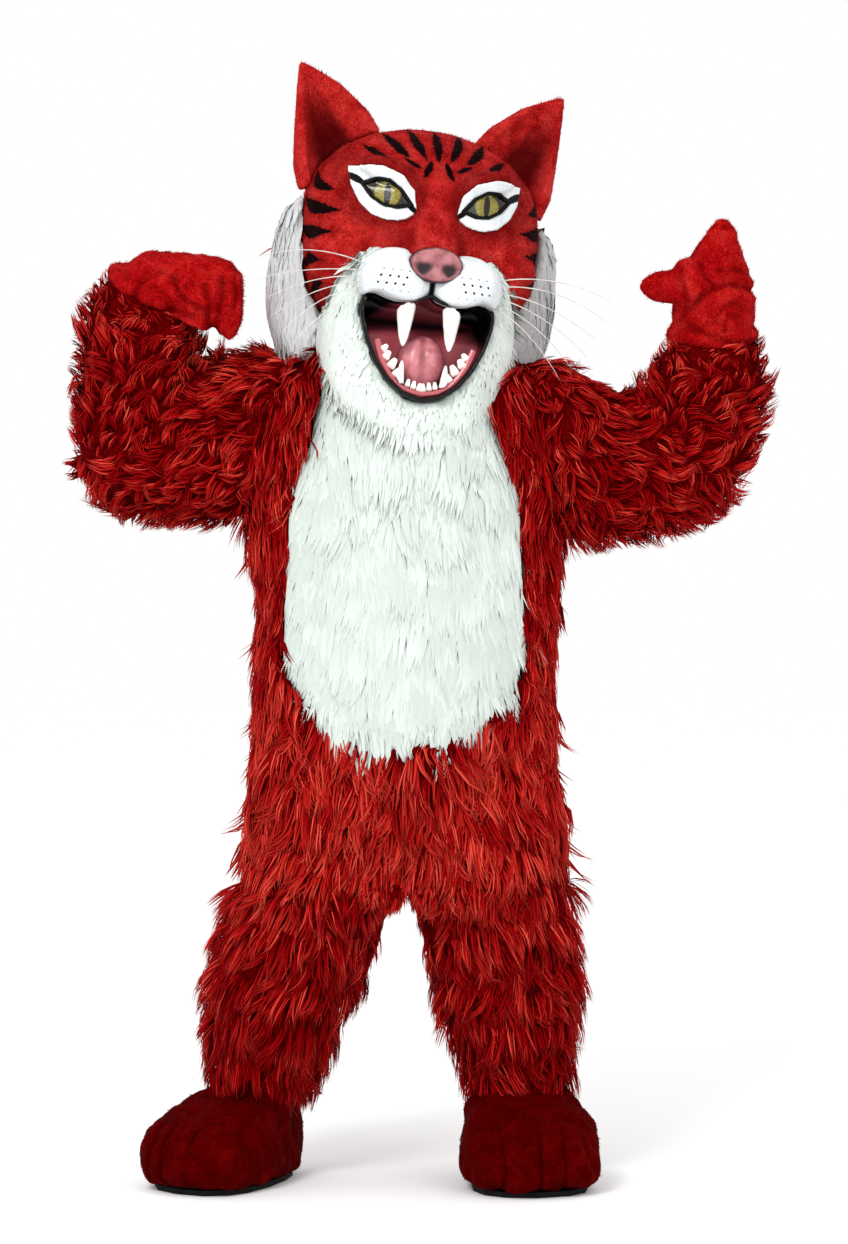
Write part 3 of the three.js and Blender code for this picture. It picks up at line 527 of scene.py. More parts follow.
def growNap(name, form, line, nap, flow, seed, label, valuesAt, keep=None):
    # the cut pile of a plush: short single hairs that lie nearly flat, each with its value of the plush's attribute
    rng = np.random.default_rng(seed)
    roots, ups, area = outwardSamples(form, line, 1 / nap["gap"] ** 2, nap["facing"], seed, keep)
    count = len(roots)
    flows = flow(roots, ups, alongLine(roots, line)[2])
    ways, sides = combed(roots, ups, flows, nap, rng.normal(0, nap["stray"], count), seed)
    lengths = nap["length"] * rng.uniform(*napVary["lengths"], count)
    lifts = np.clip(nap["lift"] + rng.normal(0, nap["liftVary"], count), *napVary["lifts"])
    rise = ways * np.cos(lifts)[:, None] + ups * np.sin(lifts)[:, None]
    start = roots - ups * napVary["rootDepth"]
    spines = np.stack([start, start + rise * lengths[:, None]], axis=1)
    widths = nap["width"] * rng.uniform(*napVary["widths"], count)[:, None] * np.array([1.0, 0.0])
    patches = napVary["patchTone"] * waves(roots, nap["mottle"], seed + 3)
    tones = np.clip(0.5 + patches + rng.normal(0, napVary["tone"], count), 0, 1)
    made = strandMesh([(spines, sides, ups, ups, widths, tones)], name, 0.5)
    keepFloats(made, label, np.repeat(valuesAt(roots, ups), 4))
    print(f"{name}: {count} hairs, {len(made.data.polygons)} triangles on {area:.3f} m2")
    return made


# the suit's middle lines
torsoLine = [(0, 0.004, -0.95), (0, -0.012, -0.52), (0, 0.0, -0.2), (0, 0.01, 0.12)]
legLines = {
    "right": [(-0.138, 0.002, -0.78), (-0.166, 0.002, -0.92), (-0.196, 0.002, -0.989), (-0.222, 0.004, -1.076),
              (-0.24, 0.008, -1.164), (-0.25, 0.012, -1.26)],
    "left": [(0.14, 0.002, -0.78), (0.152, 0.002, -0.92), (0.167, 0.002, -0.989), (0.179, 0.004, -1.076),
             (0.194, 0.008, -1.164), (0.2, 0.012, -1.26)],
}
armLines = {
    "right": [(-0.1, 0.004, -0.084), (-0.24, 0.002, -0.084), (-0.34, -0.004, -0.098), (-0.458, -0.012, -0.109),
              (-0.466, -0.03, 0.006), (-0.459, -0.052, 0.092), (-0.44, -0.07, 0.17)],
    "left": [(0.1, 0.004, -0.084), (0.24, 0.002, -0.094), (0.34, -0.004, -0.138), (0.483, -0.012, -0.129),
             (0.512, -0.028, -0.044), (0.527, -0.044, 0.018), (0.533, -0.06, 0.09)],
}
headLine = [(0.03, 0.012, -0.2), (0.025, 0.016, 0.5)]
down = np.array([0.0, 0.0, -1.0])


def trunkFlow(points, ups, ways):
    # down, parting at the middle below the belly and fanning over the hips
    x, y, z = points.T
    made = np.tile(down, (len(points), 1))
    made[:, 0] += x / 0.28 * (0.06 + 0.5 * smoothStep(-0.42, -0.75, z))
    # over the shoulders it falls to the front and the back
    top = smoothStep(-0.2, -0.05, z) * smoothStep(0.2, 0.7, ups[:, 2])
    made[:, 1] += 1.6 * top * np.sign(y - 0.01)
    return made


def bellyFlow(points, ups, ways):
    # down, and out over the seam at the sides
    x = points[:, 0]
    made = np.tile(down, (len(points), 1))
    made[:, 0] += 0.3 * np.sign(x) * smoothStep(0.08, 0.2, np.abs(x))
    return made


def legFlow(points, ups, ways):
    # down the leg, flaring a little to the sides
    made = ways + down * 0.3
    made[:, 0] += ups[:, 0] * 0.28
    return made


def armFlow(points, ups, ways):
    # towards the wrist, hanging where the arm lets it
    return ways * 0.85 + down * 0.5 + ups * 0.1


# The four Local functions say how locks vary from place to place: a share of their length, and what is added to
# their lift, tone and gathering. What they add to the tone is painted light and shade: lighter where the light
# falls, darker where it does not.
def trunkLocal(points):
    # the hips' locks are longest, and painted brightest as painted light
    x, _, z = points.T
    hips = smoothStep(-0.4, -0.62, z)
    inner = smoothStep(-0.74, -0.84, z) * smoothStep(0.08, 0.02, np.abs(x))
    return (1 + 0.12 * hips) * (1 - 0.4 * inner), -0.12 * inner, 0.26 * hips - 0.04, 0.0


def legLocal(points):
    # painted shade, darker down the leg; and shorter between the legs and at the hem over the foot
    x, _, z = points.T
    hem = smoothStep(-1.19, -1.225, z)
    inner = smoothStep(-1.02, -0.9, z) * smoothStep(0.11, 0.04, np.abs(x))
    return ((1.08 - 0.45 * hem) * (1 - 0.6 * inner), -0.05 * hem - 0.2 * inner,
            0.18 - 0.34 * smoothStep(-0.85, -1.1, z), 0.0)


mittTrees = {side: treeOf(nodes["mitt_" + side].data) for side in ("left", "right")}
cuffGap = 0.004


def fromMitt(points):
    # how far each place on a sleeve is from its mitt
    tree = mittTrees[sideOf(points)]
    return np.array([tree.find_nearest(Vector(point))[3] for point in points])


def cuffKeep(points, normals):
    # the mitt's cuff lies over the sleeve's end
    return fromMitt(points) > cuffGap


def armLocal(points):
    # the top of the shoulder is painted lighter, as painted light, and lies flatter; and the fur splays below the
    # mitt's cuff
    x, _, z = points.T
    top = smoothStep(-0.03, 0.02, z) * smoothStep(0.42, 0.32, np.abs(x))
    cuff = smoothStep(0.055, 0.005, fromMitt(points))
    return 1 - 0.42 * cuff, 0.3 * cuff - 0.3 * top, 0.2 * top, -0.2 * top


def bellyLocal(points):
    # fuller under the chin; shorter and drawn into points towards the lower edge
    x, _, z = points.T
    top = smoothStep(-0.3, -0.09, z) * smoothStep(0.17, 0.09, np.abs(x - 0.02))
    low = smoothStep(-0.5, -0.66, z)
    edge = smoothStep(-0.56, -0.61, z)
    return 1 - 0.04 * low, 0.14 * top + 0.14 * edge, 0.0, 0.52 * low


trunkStyle = {
    # roots this far apart, tufts of them, how far the cloth is drawn in under them and how far its edges overlap
    "gap": 0.0092, "tuft": 0.02, "gather": 0.22, "facing": 0.0, "draw": 0.008, "seam": 0.004,
    "length": 0.068, "width": 0.0056, "steps": 4, "ridge": 0.7,
    "strands": 2, "fineWidth": 0.003, "fineSteps": 4, "fineLift": 0.1,
    # how far the locks stand off the cloth, fall back, curve and sag, in radians and shares of their length
    "lift": 0.26, "liftVary": 0.09, "fall": 0.6, "bend": 0.15, "droop": 0.05, "least": -0.7,
    "swirl": 0.15, "swirlSize": 0.12, "stray": 0.1,
    # tones: the style's, its random spread, the fine strands' spread, and the share of locks given painted
    # highlights and how much lighter they are
    "tone": 0.36, "toneVary": 0.13, "fineVary": 0.2, "glints": 0.16, "glintTone": 0.55, "soft": 0.0,
    "laid": 0.0,
    "local": trunkLocal,
}
frontStyle = dict(trunkStyle, facing=-0.35, seam=0.0005)
backStyle = dict(trunkStyle, facing=-0.35, gap=0.0102, length=0.058, lift=0.22, liftVary=0.08, fineSteps=3)
# arms and legs are painted darker than the trunk (tone 0.24 against 0.36), as painted shade
armStyle = dict(trunkStyle, tone=0.24, swirl=0.36, stray=0.22, lift=0.6, liftVary=0.16, fall=0.28, bend=0.28,
                length=0.048, gather=0.58, tuft=0.021, local=armLocal)
legStyle = dict(trunkStyle, tone=0.24, lift=0.38, liftVary=0.14, fall=0.45, stray=0.15, gather=0.4, local=legLocal)
bellyStyle = {
    "gap": 0.0072, "tuft": 0.03, "gather": 0.2, "facing": 0.0, "draw": 0.006, "seam": 0.0005,
    "length": 0.078, "width": 0.0095, "steps": 4, "ridge": 0.16,
    "strands": 1, "fineWidth": 0.0036, "fineSteps": 3, "fineLift": 0.02,
    "lift": 0.07, "liftVary": 0.012, "fall": 0.6, "bend": 0.05, "droop": 0.03, "least": -0.5,
    "swirl": 0.06, "swirlSize": 0.11, "stray": 0.05,
    "tone": 0.25, "toneVary": 0.09, "fineVary": 0.15, "glints": 0.0, "glintTone": 0.0, "soft": 0.85,
    # how far over its cloth a flat pile is kept
    "laid": 0.0035,
    "local": bellyLocal,
}


def legFolds(points):
    # the leg bags over itself in uneven tiers, and closes in over the ankle
    z = points[:, 2]
    rings = np.sin(z / 0.082 * 2 * math.pi + 1.2 * waves(points, 0.4, 5))
    ankle = smoothStep(-1.02, -1.22, z)
    return 0.006 * rings * (1 - ankle) + 0.003 * waves(points, 0.12, 8) - 0.015 * ankle


def trunkFolds(points):
    return 0.004 * waves(points, 0.22, 9)


def bellyFolds(points):
    # the bulges of the chest and the paunch are eased
    z = points[:, 2]
    return -0.004 * (np.exp(-((z + 0.25) / 0.07) ** 2) + np.exp(-((z + 0.53) / 0.05) ** 2))


def dressPanel(nodeName, line, style, flow, folds, seed, cut, shag, keep):
    # one cut of fur: its backing cloth and the pile on it; its cut size only sets a fill that is not used
    cloth = clothFrom(nodeName, camelCase(nodeName) + "Cloth", line, style, folds)
    pile = growPile(camelCase(nodeName) + "Pile", cloth, line, style, flow, seed, keep)
    slotName = "red_fur" if shag == redShag else "white_fur"
    settle(cloth, backings[shag.name], slotName, nodeName, fill=None if cut else 0.8)
    settle(pile, shag, slotName)


def belowChin(points, normals):
    # no roots in front where the chin covers the neck
    x, y, z = points.T
    return (z < -0.02) | (np.abs(x - 0.03) > 0.14) | (y > 0)


suitPanels = [
    # node, middle line, style, flow, folds, seed, the cut (width, length and area), shag, and where it has roots
    ("front_left", torsoLine, frontStyle, trunkFlow, trunkFolds, 11, (0.34, 0.94, 0.19), redShag, belowChin),
    ("front_right", torsoLine, frontStyle, trunkFlow, trunkFolds, 12, (0.34, 0.94, 0.19), redShag, belowChin),
    ("back_left", torsoLine, backStyle, trunkFlow, trunkFolds, 13, (0.42, 0.95, 0.31), redShag, None),
    ("back_right", torsoLine, backStyle, trunkFlow, trunkFolds, 14, (0.42, 0.95, 0.31), redShag, None),
    ("leg_left", legLines["left"], legStyle, legFlow, legFolds, 15, (0.86, 0.40, 0.32), redShag, None),
    ("leg_right", legLines["right"], legStyle, legFlow, legFolds, 16, (0.90, 0.40, 0.34), redShag, None),
    ("sleeve_left", armLines["left"], armStyle, armFlow, trunkFolds, 17, (0.78, 0.56, 0.34), redShag, cuffKeep),
    ("sleeve_right", armLines["right"], armStyle, armFlow, trunkFolds, 18, (0.78, 0.58, 0.35), redShag, cuffKeep),
    ("belly_panel", torsoLine, bellyStyle, bellyFlow, bellyFolds, 19, (0.42, 0.72, 0.28), whiteShag, None),
]
for panel in suitPanels:
    dressPanel(*panel)
print("suit panels dressed")

# the head's own frame: level and facing -Y, then tilted, turned and seated on the neck
headPlace = (Matrix.Translation((0.025, -0.018, 0.222)) @ Matrix.Rotation(math.radians(6), 4, "Y")
             @ Matrix.Rotation(math.radians(11), 4, "Z"))
headTurn, headSeat = np.array(headPlace.to_3x3()), np.array(headPlace.translation)


def intoHead(points):
    return (points - headSeat) @ headTurn


def outOfHead(points):
    return points @ headTurn.T + headSeat


def inHead(points):
    # the head's own X, the same on both sides, Y and Z
    x, y, z = intoHead(points).T
    return np.abs(x), y, z


def headAxes(tree):
    # the head's own X (the same on both sides), Y and Z in metres
    place = node(tree, "TexCoord")
    head = node(tree, "Mapping", {"Vector": (place, "Object"), "Location": tuple(headPlace.translation),
                                  "Rotation": tuple(headPlace.to_euler("XYZ"))}, vector_type="TEXTURE")
    apart = node(tree, "SeparateXYZ", {"Vector": head})
    return head, node(tree, "Math", ((apart, "X"),), operation="ABSOLUTE"), (apart, "Y"), (apart, "Z")


# Short polyester plush: a cut pile 6 mm deep, matt and mottled where it is brushed, its hairs painted a touch
# lighter towards their tips as painted light.
def plushMaterial(name, plush, marks=None):
    made, tree = material(name)
    place = node(tree, "TexCoord")
    # tufts of hairs 3 mm apart, and brushed patches about 40 mm across
    tufts = node(tree, "TexNoise", {"Vector": (place, "Object"), "Scale": 300.0, "Detail": 4.0, "Roughness": 0.65})
    brushed = node(tree, "TexNoise", {"Vector": (place, "Object"), "Scale": 26.0, "Detail": 3.0, "Distortion": 0.6})
    share = node(tree, "Math", ((tufts, 0), 0.55), operation="MULTIPLY")
    nap = node(tree, "Math", ((brushed, 0), 0.45, share), operation="MULTIPLY_ADD")
    top = layered(tree, node(tree, "ValToRGB", {"Fac": nap}, stops=plush["colours"]), marks)
    # painted light: hairs lighten to their tips, each by its own tone; the cloth under them has neither
    along = node(tree, "Attribute", attribute_name="along")
    tone = node(tree, "Attribute", attribute_name="tone")
    lit = node(tree, "Math", ((along, "Fac"), (tone, "Fac")), operation="MULTIPLY")
    amount = node(tree, "Math", (lit, plush["hairs"], 1.0), operation="MULTIPLY_ADD")
    colour = node(tree, "HueSaturation", {"Color": top, "Value": amount})
    lump = node(tree, "Bump", {"Height": nap, "Strength": 0.6, "Distance": 0.004})
    skin = node(tree, "BsdfPrincipled", {
        "Base Color": colour, "Normal": lump, "Roughness": 0.85, "Specular IOR Level": plush["gloss"],
        "Specular Tint": linear(plush["colours"][-1][1]), "Sheen Weight": plush["sheen"],
        "Sheen Roughness": 0.45, "Sheen Tint": linear(plush["colours"][-1][1])})
    node(tree, "OutputMaterial", {"Surface": skin})
    return made


# This wildcat's stripes: its own pairs of tapered bars, sprayed on the plush, the same on both sides. "front" bars
# lie in X and Z of the head's frame, "side" bars in Y and Z.
stripes = [
    # plane, middle in millimetres, turn in degrees, half length and half width in millimetres, bend
    ("front", (0, 186), 90, 34, 8.5, 0),
    ("front", (36, 186), 68, 34, 8.5, 3),
    ("front", (72, 178), 50, 33, 8.5, 3),
    ("front", (106, 160), 36, 26, 7, 3),
    ("front", (18, 138), 112, 20, 6, -4),
    ("front", (46, 146), 28, 17, 4.5, 4),
    ("side", (-16, 104), 26, 50, 9, 3),
    ("side", (-26, 60), 16, 52, 11, 3),
    ("side", (-28, 16), 8, 56, 12, 2),
    ("side", (-24, -30), 0, 54, 12, -2),
    ("side", (-16, -74), -10, 46, 10, -3),
    ("side", (110, 120), -12, 48, 11, 3),
    ("side", (112, 72), -4, 54, 12, 2),
]
# the black lines that lead on from the lids, over the white patches
liners = [("front", (140, 110), 32, 24, 6.5, -2), ("front", (44, 66), 42, 15, 5, 3)]


def barField(tree, bars, ragged):
    # how far inside the nearest bar a place is, in metres; below 0 outside
    head, across, deep, high = headAxes(tree)
    rough = node(tree, "TexNoise", {"Vector": head, "Scale": 150.0, "Detail": 3.0})
    loose = node(tree, "Math", (rough, ragged, -0.5 * ragged), operation="MULTIPLY_ADD")
    planes = {}
    for plane, flat, edge, limit, where in (("front", across, deep, 0.03, "LESS_THAN"),
                                            ("side", deep, across, 0.118, "GREATER_THAN")):
        # a bar shows only on its own part of the head: elsewhere it is pushed a metre outside
        allowed = node(tree, "Math", (edge, limit), operation=where)
        masked = node(tree, "Math", (allowed, 1.0), operation="SUBTRACT")
        planes[plane] = node(tree, "CombineXYZ", {"X": flat, "Y": high}), masked
    field = None
    for plane, (x, y), turn, long, wide, bend in bars:
        long, wide = long / 1000, wide / 1000
        drawnOn, masked = planes[plane]
        own = node(tree, "Mapping", {
            "Vector": drawnOn, "Location": (x / 1000, y / 1000, 0),
            "Rotation": (0, 0, math.radians(turn))}, vector_type="TEXTURE")
        apart = node(tree, "SeparateXYZ", {"Vector": own})
        square = node(tree, "Math", ((apart, "X"), (apart, "X")), operation="MULTIPLY")
        bent = node(tree, "Math", (square, -bend, (apart, "Y")), operation="MULTIPLY_ADD")
        off = node(tree, "Math", (bent,), operation="ABSOLUTE")
        # each bar narrows to a point at both ends
        room = node(tree, "Math", (square, -wide / long ** 2, wide), operation="MULTIPLY_ADD")
        inside = node(tree, "Math", (room, off), operation="SUBTRACT")
        inside = node(tree, "Math", (masked, inside), operation="ADD")
        field = inside if field is None else node(tree, "Math", (field, inside), operation="MAXIMUM")
    return node(tree, "Math", (field, loose), operation="ADD")


def stripeMarks(tree):
    # black bars with a soft sprayed edge, and darker red painted shade where the form turns away
    field = barField(tree, stripes, 0.008)
    halo = node(tree, "Math", (field, 1 / 0.018, 0.62), operation="MULTIPLY_ADD", use_clamp=True)
    # the head's painted shade, read from its own attribute
    spray = node(tree, "Attribute", attribute_name="spray")
    shade = node(tree, "Math", (halo, 0.6), operation="MULTIPLY")
    shade = node(tree, "Math", (shade, (spray, "Fac")), operation="MAXIMUM")
    core = node(tree, "Math", (field, 1 / 0.002, 0.4), operation="MULTIPLY_ADD", use_clamp=True)
    return (shade, linear("#430305")), (core, linear("#0A0507"))


def patchMarks(tree):
    field = barField(tree, liners, 0.003)
    core = node(tree, "Math", (field, 1 / 0.0012, 0.5), operation="MULTIPLY_ADD", use_clamp=True)
    return [(core, linear("#0A0507"))]


def shadeMarks(label, colour, share=1.0):
    # a second colour where the piece's own attribute says
    def marks(tree):
        shade = node(tree, "Attribute", attribute_name=label)
        return [(node(tree, "Math", ((shade, "Fac"), share), operation="MULTIPLY"), linear(colour))]
    return marks


def muzzleMarks(tree):
    # three short rows of whisker roots on each pad, and the dark line between the pads
    _, across, _, high = headAxes(tree)
    row, step, radius = 0.0125, 0.0145, 0.0021
    level = node(tree, "Math", (high, 0.058), operation="ADD")
    dz = node(tree, "Math", (level, row / 2, -row / 2), operation="WRAP")
    slant = node(tree, "Math", (high, 0.35, across), operation="MULTIPLY_ADD")
    dx = node(tree, "Math", (slant, step / 2, -step / 2), operation="WRAP")
    spot = node(tree, "CombineXYZ", {"X": dx, "Y": dz})
    near = node(tree, "VectorMath", (spot,), operation="LENGTH")
    dots = node(tree, "Math", ((near, "Value"), radius), operation="LESS_THAN")
    for value, low, top in ((across, 0.042, 0.098), (high, -0.082, -0.046)):
        above = node(tree, "Math", (value, low), operation="GREATER_THAN")
        under = node(tree, "Math", (value, top), operation="LESS_THAN")
        both = node(tree, "Math", (above, under), operation="MULTIPLY")
        dots = node(tree, "Math", (dots, both), operation="MULTIPLY")
    split = node(tree, "Math", (across, -1 / 0.003, 2.2), operation="MULTIPLY_ADD", use_clamp=True)
    lower = node(tree, "Math", (high, -0.05), operation="LESS_THAN")
    split = node(tree, "Math", (split, lower), operation="MULTIPLY")
    return [(node(tree, "Math", (dots, split), operation="MAXIMUM"), linear("#101013"))]


# Cast vinyl or resin, and moulded rubber and nylon: smooth, with a soft clear gloss and a faint cloudiness from
# the mould.
def glossMaterial(name, cast, marks=None):
    made, tree = material(name)
    place = node(tree, "TexCoord")
    # clouds about 15 mm across, and a skin grain of 2 mm
    cloud = node(tree, "TexNoise", {"Vector": (place, "Object"), "Scale": 60.0, "Detail": 3.0})
    clouded = node(tree, "ValToRGB", {"Fac": cloud}, stops=[(0.3, cast["dark"]), (0.62, cast["colour"])])
    grain = node(tree, "TexNoise", {"Vector": (place, "Object"), "Scale": 420.0, "Detail": 2.0})
    lump = node(tree, "Bump", {"Height": grain, "Strength": 0.12, "Distance": 0.001})
    skin = node(tree, "BsdfPrincipled", {
        "Base Color": layered(tree, clouded, marks), "Normal": lump, "Roughness": cast["roughness"],
        "Specular IOR Level": cast["gloss"], "Coat Weight": cast["coat"], "Coat Roughness": 0.08})
    node(tree, "OutputMaterial", {"Surface": skin})
    return made


eyeShape = {"x": 0.087, "z": 0.086, "iris": 0.024, "ring": 0.0235, "pupil": 0.0205, "slim": 3.4}


def eyeMarks(tree):
    # olive iris with fine rays and a slit pupil, dark towards the lids; the same on both sides
    _, across, _, high = headAxes(tree)
    dx = node(tree, "Math", (across, eyeShape["x"]), operation="SUBTRACT")
    dz = node(tree, "Math", (high, eyeShape["z"]), operation="SUBTRACT")
    spot = node(tree, "CombineXYZ", {"X": dx, "Y": dz})
    away = (node(tree, "VectorMath", (spot,), operation="LENGTH"), "Value")
    angle = node(tree, "Math", (dz, dx), operation="ARCTAN2")
    ray = node(tree, "CombineXYZ", {"X": angle})
    rays = node(tree, "TexNoise", {"Vector": ray, "Scale": 9.0, "Detail": 4.0, "Roughness": 0.7})
    lit = node(tree, "ValToRGB", {"Fac": rays}, stops=[(0.35, "#40380E"), (0.5, "#7E7224"), (0.68, "#B5AA4C")])
    off = node(tree, "Math", (away, eyeShape["ring"]), operation="SUBTRACT")
    off = node(tree, "Math", (off,), operation="ABSOLUTE")
    ring = node(tree, "Math", (off, -1 / 0.0034, 1.0), operation="MULTIPLY_ADD", use_clamp=True)
    slim = node(tree, "Math", (dx, eyeShape["slim"]), operation="MULTIPLY")
    slit = node(tree, "VectorMath", (node(tree, "CombineXYZ", {"X": slim, "Y": dz}),), operation="LENGTH")
    discs = []
    for distance, part, edge in ((away, "iris", 0.0012), ((slit, "Value"), "pupil", 0.0015)):
        discs.append(node(tree, "Math", (distance, -1 / edge, eyeShape[part] / edge),
                          operation="MULTIPLY_ADD", use_clamp=True))
    iris, pupil = discs
    return (iris, lit), (ring, linear("#151202")), (pupil, linear("#050505"))


redPlush = {"colours": [(0.36, "#760809"), (0.5, "#A31C1A"), (0.66, "#C03833")], "hairs": 0.4, "gloss": 0.04,
            "sheen": 0.05}
mittRed = {"colours": [(0.36, "#720305"), (0.5, "#98090C"), (0.66, "#B92823")], "hairs": 0.55, "gloss": 0.03,
           "sheen": 0.04}
# the feet's own darker plush, its colour painted darker still as painted shade low under the light
footRed = {"colours": [(0.36, "#3A0000"), (0.5, "#4C0001"), (0.66, "#620304")], "hairs": 0.45, "gloss": 0.02,
           "sheen": 0.02}
whitePile = {"colours": [(0.36, "#C8CED0"), (0.5, "#D9DEE0"), (0.66, "#E9EEEF")], "hairs": 0.1, "gloss": 0.1,
             "sheen": 0.1}
# painted shade: plush is painted darker down in its creases and seams, and deep in the ears
creaseShadeMarks = shadeMarks("crease", "#300001")
headPlush = plushMaterial("headPlush", redPlush, stripeMarks)
earPlush = plushMaterial("earPlush", redPlush, shadeMarks("hollow", "#3A0204"))
mittPlush = plushMaterial("mittPlush", mittRed, creaseShadeMarks)
footPlush = plushMaterial("footPlush", footRed, creaseShadeMarks)
patchPlush = plushMaterial("patchPlush", whitePile, patchMarks)
muzzlePlush = plushMaterial("muzzlePlush", whitePile, muzzleMarks)
lipVinyl = glossMaterial("lipVinyl", {
    "dark": "#050508", "colour": "#0A0A0E", "roughness": 0.3, "gloss": 0.16, "coat": 0.06},
    shadeMarks("shade", "#8E3A42"))
lidVinyl = glossMaterial("lidVinyl", {
    "dark": "#050506", "colour": "#0B0B0D", "roughness": 0.6, "gloss": 0.12, "coat": 0.0})
eyeVinyl = glossMaterial("eyeVinyl", {
    "dark": "#14120A", "colour": "#221F10", "roughness": 0.14, "gloss": 0.3, "coat": 0.3}, eyeMarks)
noseVinyl = glossMaterial("noseVinyl", {
    "dark": "#7E4347", "colour": "#B27176", "roughness": 0.5, "gloss": 0.35, "coat": 0.0},
    shadeMarks("shade", "#12080A", 0.96))
tongueVinyl = glossMaterial("tongueVinyl", {
    "dark": "#A4525C", "colour": "#C87A80", "roughness": 0.38, "gloss": 0.4, "coat": 0.2},
    shadeMarks("shade", "#7A2A32", 0.8))
toothResin = glossMaterial("toothResin", {
    "dark": "#E6E2D8", "colour": "#FAF8F3", "roughness": 0.22, "gloss": 0.4, "coat": 0.4},
    shadeMarks("shade", "#B4565C"))
soleRubber = glossMaterial("soleRubber", {
    "dark": "#060606", "colour": "#0D0D0E", "roughness": 0.8, "gloss": 0.2, "coat": 0.0})
whiskerNylon = glossMaterial("whiskerNylon", {
    "dark": "#BDBAB4", "colour": "#DBD8D2", "roughness": 0.35, "gloss": 0.4, "coat": 0.0})
print("plush, vinyl and resin materials made")


def strokeDepth(flat, strokes):
    # soft ridges (high above 0) and creases (below 0) along lines drawn in a plane; millimetres
    depth = np.zeros(len(flat))
    points = np.column_stack([flat, np.zeros(len(flat))])
    for line, wide, high in strokes:
        _, gap, _ = alongLine(points, [(x / 1000, z / 1000, 0.0) for x, z in line])
        depth += high / 1000 * np.exp(-(gap / (wide / 1000)) ** 2)
    return depth


# the sculpted relief of the mask under the plush, drawn in the head's X and Z and the same on both sides
faceStrokes = [
    ([(30, 106), (62, 134), (102, 147), (142, 142)], 14, 9),     # brow
    ([(13, 98), (11, 130)], 6, -4),                              # frown between the brows
    ([(0, 66), (0, 6)], 17, 3),                                  # bridge
    ([(0, 44), (26, 38), (44, 22)], 5.5, 3),                     # wrinkles of the snarl
    ([(0, 24), (28, 17), (50, 2)], 5.5, 3),
    ([(52, 52), (90, 30), (128, 46), (146, 70)], 8, 4),          # fold under the eye
    ([(60, 8), (98, 2), (128, -32), (136, -76)], 9, -5),         # crease beside the muzzle
    ([(116, 22), (144, -2), (154, -44)], 16, 5),                 # cheekbone
]


def shapeFace(obj):
    places, _ = readPoints(obj)
    local = intoHead(places)
    forward = strokeDepth(np.column_stack([np.abs(local[:, 0]), local[:, 2]]), faceStrokes)
    local[:, 1] -= forward * smoothStep(0.05, -0.03, local[:, 1])
    writePoints(obj, outOfHead(local))


def headPaintedShade(points, ups):
    # 0 to 1: painted shade, where the mask is painted darker: behind, round the eye patches, at the temples, beside
    #         the nose and low on the jaw
    x, y, z = inHead(points)
    rear = 0.6 * smoothStep(-0.01, 0.11, y) * smoothStep(0.26, 0.12, z)
    patch = np.hypot((x - 0.094) / 0.062, (z - 0.088) / 0.05)
    socket = 0.55 * smoothStep(1.42, 1.05, patch) * (y < 0)
    temple = 0.5 * np.exp(-((x - 0.15) / 0.05) ** 2 - ((z - 0.142) / 0.03) ** 2)
    wing = 0.45 * np.exp(-((x - 0.05) / 0.018) ** 2 - ((z - 0.012) / 0.03) ** 2) * (y < -0.05)
    jowl = 0.5 * smoothStep(-0.04, -0.12, z)
    return np.clip(np.maximum.reduce([rear, socket, temple, wing, jowl]), 0, 1)


headForm = {"voxel": 0.006, "softening": 8, "thinned": 0.32}
headShell = formFrom(["head_face", "head_back"], "headShell", **headForm)
shapeFace(headShell)
# the head's painted shade, kept on the shell
keepFloats(headShell, "spray", headPaintedShade(*readPoints(headShell)))
settle(headShell, headPlush, "red_plush", "head_face", "head_back", fill=0.9)


def headNapFlow(points, ups, ways):
    # back from the nose, up over the brow and out over the cheeks
    x, y, z = intoHead(points).T
    return np.stack([x, 0.3 * (y + 0.14), z + 0.02], axis=1) @ headTurn.T


def headNapKeep(points, ups):
    # none under the eye patches, the muzzle, the ruffs and the nape
    x, y, z = inHead(points)
    patch = np.hypot((x - 0.094) / 0.056, (z - 0.088) / 0.044) < 0.85
    muzzle = (x < 0.1) & (z < -0.02)
    return ~(((patch | muzzle) & (y < -0.04)) | ((y > 0.05) & (z < 0.05)) | (z < -0.11))


headNap = {"gap": 0.0052, "length": 0.0105, "width": 0.0017, "lift": 0.3, "liftVary": 0.16, "swirl": 0.2,
           "swirlSize": 0.09, "stray": 0.2, "mottle": 0.05, "facing": 0.25}
# the nap's hairs carry the head's painted shade too
settle(growNap("headNap", headShell, headLine, headNap, headNapFlow, 41, "spray", headPaintedShade, headNapKeep),
       headPlush, "red_plush")

muzzleForm = {"voxel": 0.0034, "softening": 10, "swell": 0.0022}
for side in ("left", "right"):
    pad = formFrom(["muzzle_" + side], camelCase("muzzle_" + side + "_pad"), **muzzleForm)
    settle(pad, muzzlePlush, "white_plush", "muzzle_" + side, fill=0.8)


def earHollowShade(points, ups):
    # painted shade, most deep in the front of the ear, 0 at its rim and behind
    x, _, z = inHead(points)
    facing = -(ups @ headTurn)[:, 1]
    middle = 0.136 + (z - 0.122) * 0.52
    room = np.maximum(0.088 - np.maximum(z - 0.165, 0) * 0.56, 0.01)
    off = np.abs(x - middle) / room
    return 0.92 * smoothStep(0.8, 0.3, off) * smoothStep(0.1, 0.5, facing) * smoothStep(0.31, 0.2, z)


def earNapFlow(points, ups, ways):
    # up the ear
    return np.tile(headTurn[:, 2], (len(points), 1))


earForm = {"voxel": 0.0042, "softening": 8}
earNap = dict(headNap, gap=0.005, length=0.009, facing=-2)
for side in ("left", "right"):
    ear = formFrom(["ear_" + side], camelCase("ear_" + side + "_plush"), **earForm)
    # painted shade deep in the ear
    keepFloats(ear, "hollow", earHollowShade(*readPoints(ear)))
    settle(ear, earPlush, "red_plush", "ear_" + side, fill=0.6)
    nap = growNap(camelCase("ear_" + side + "_nap"), ear, headLine, earNap, earNapFlow, 43, "hollow", earHollowShade)
    settle(nap, earPlush, "red_plush")

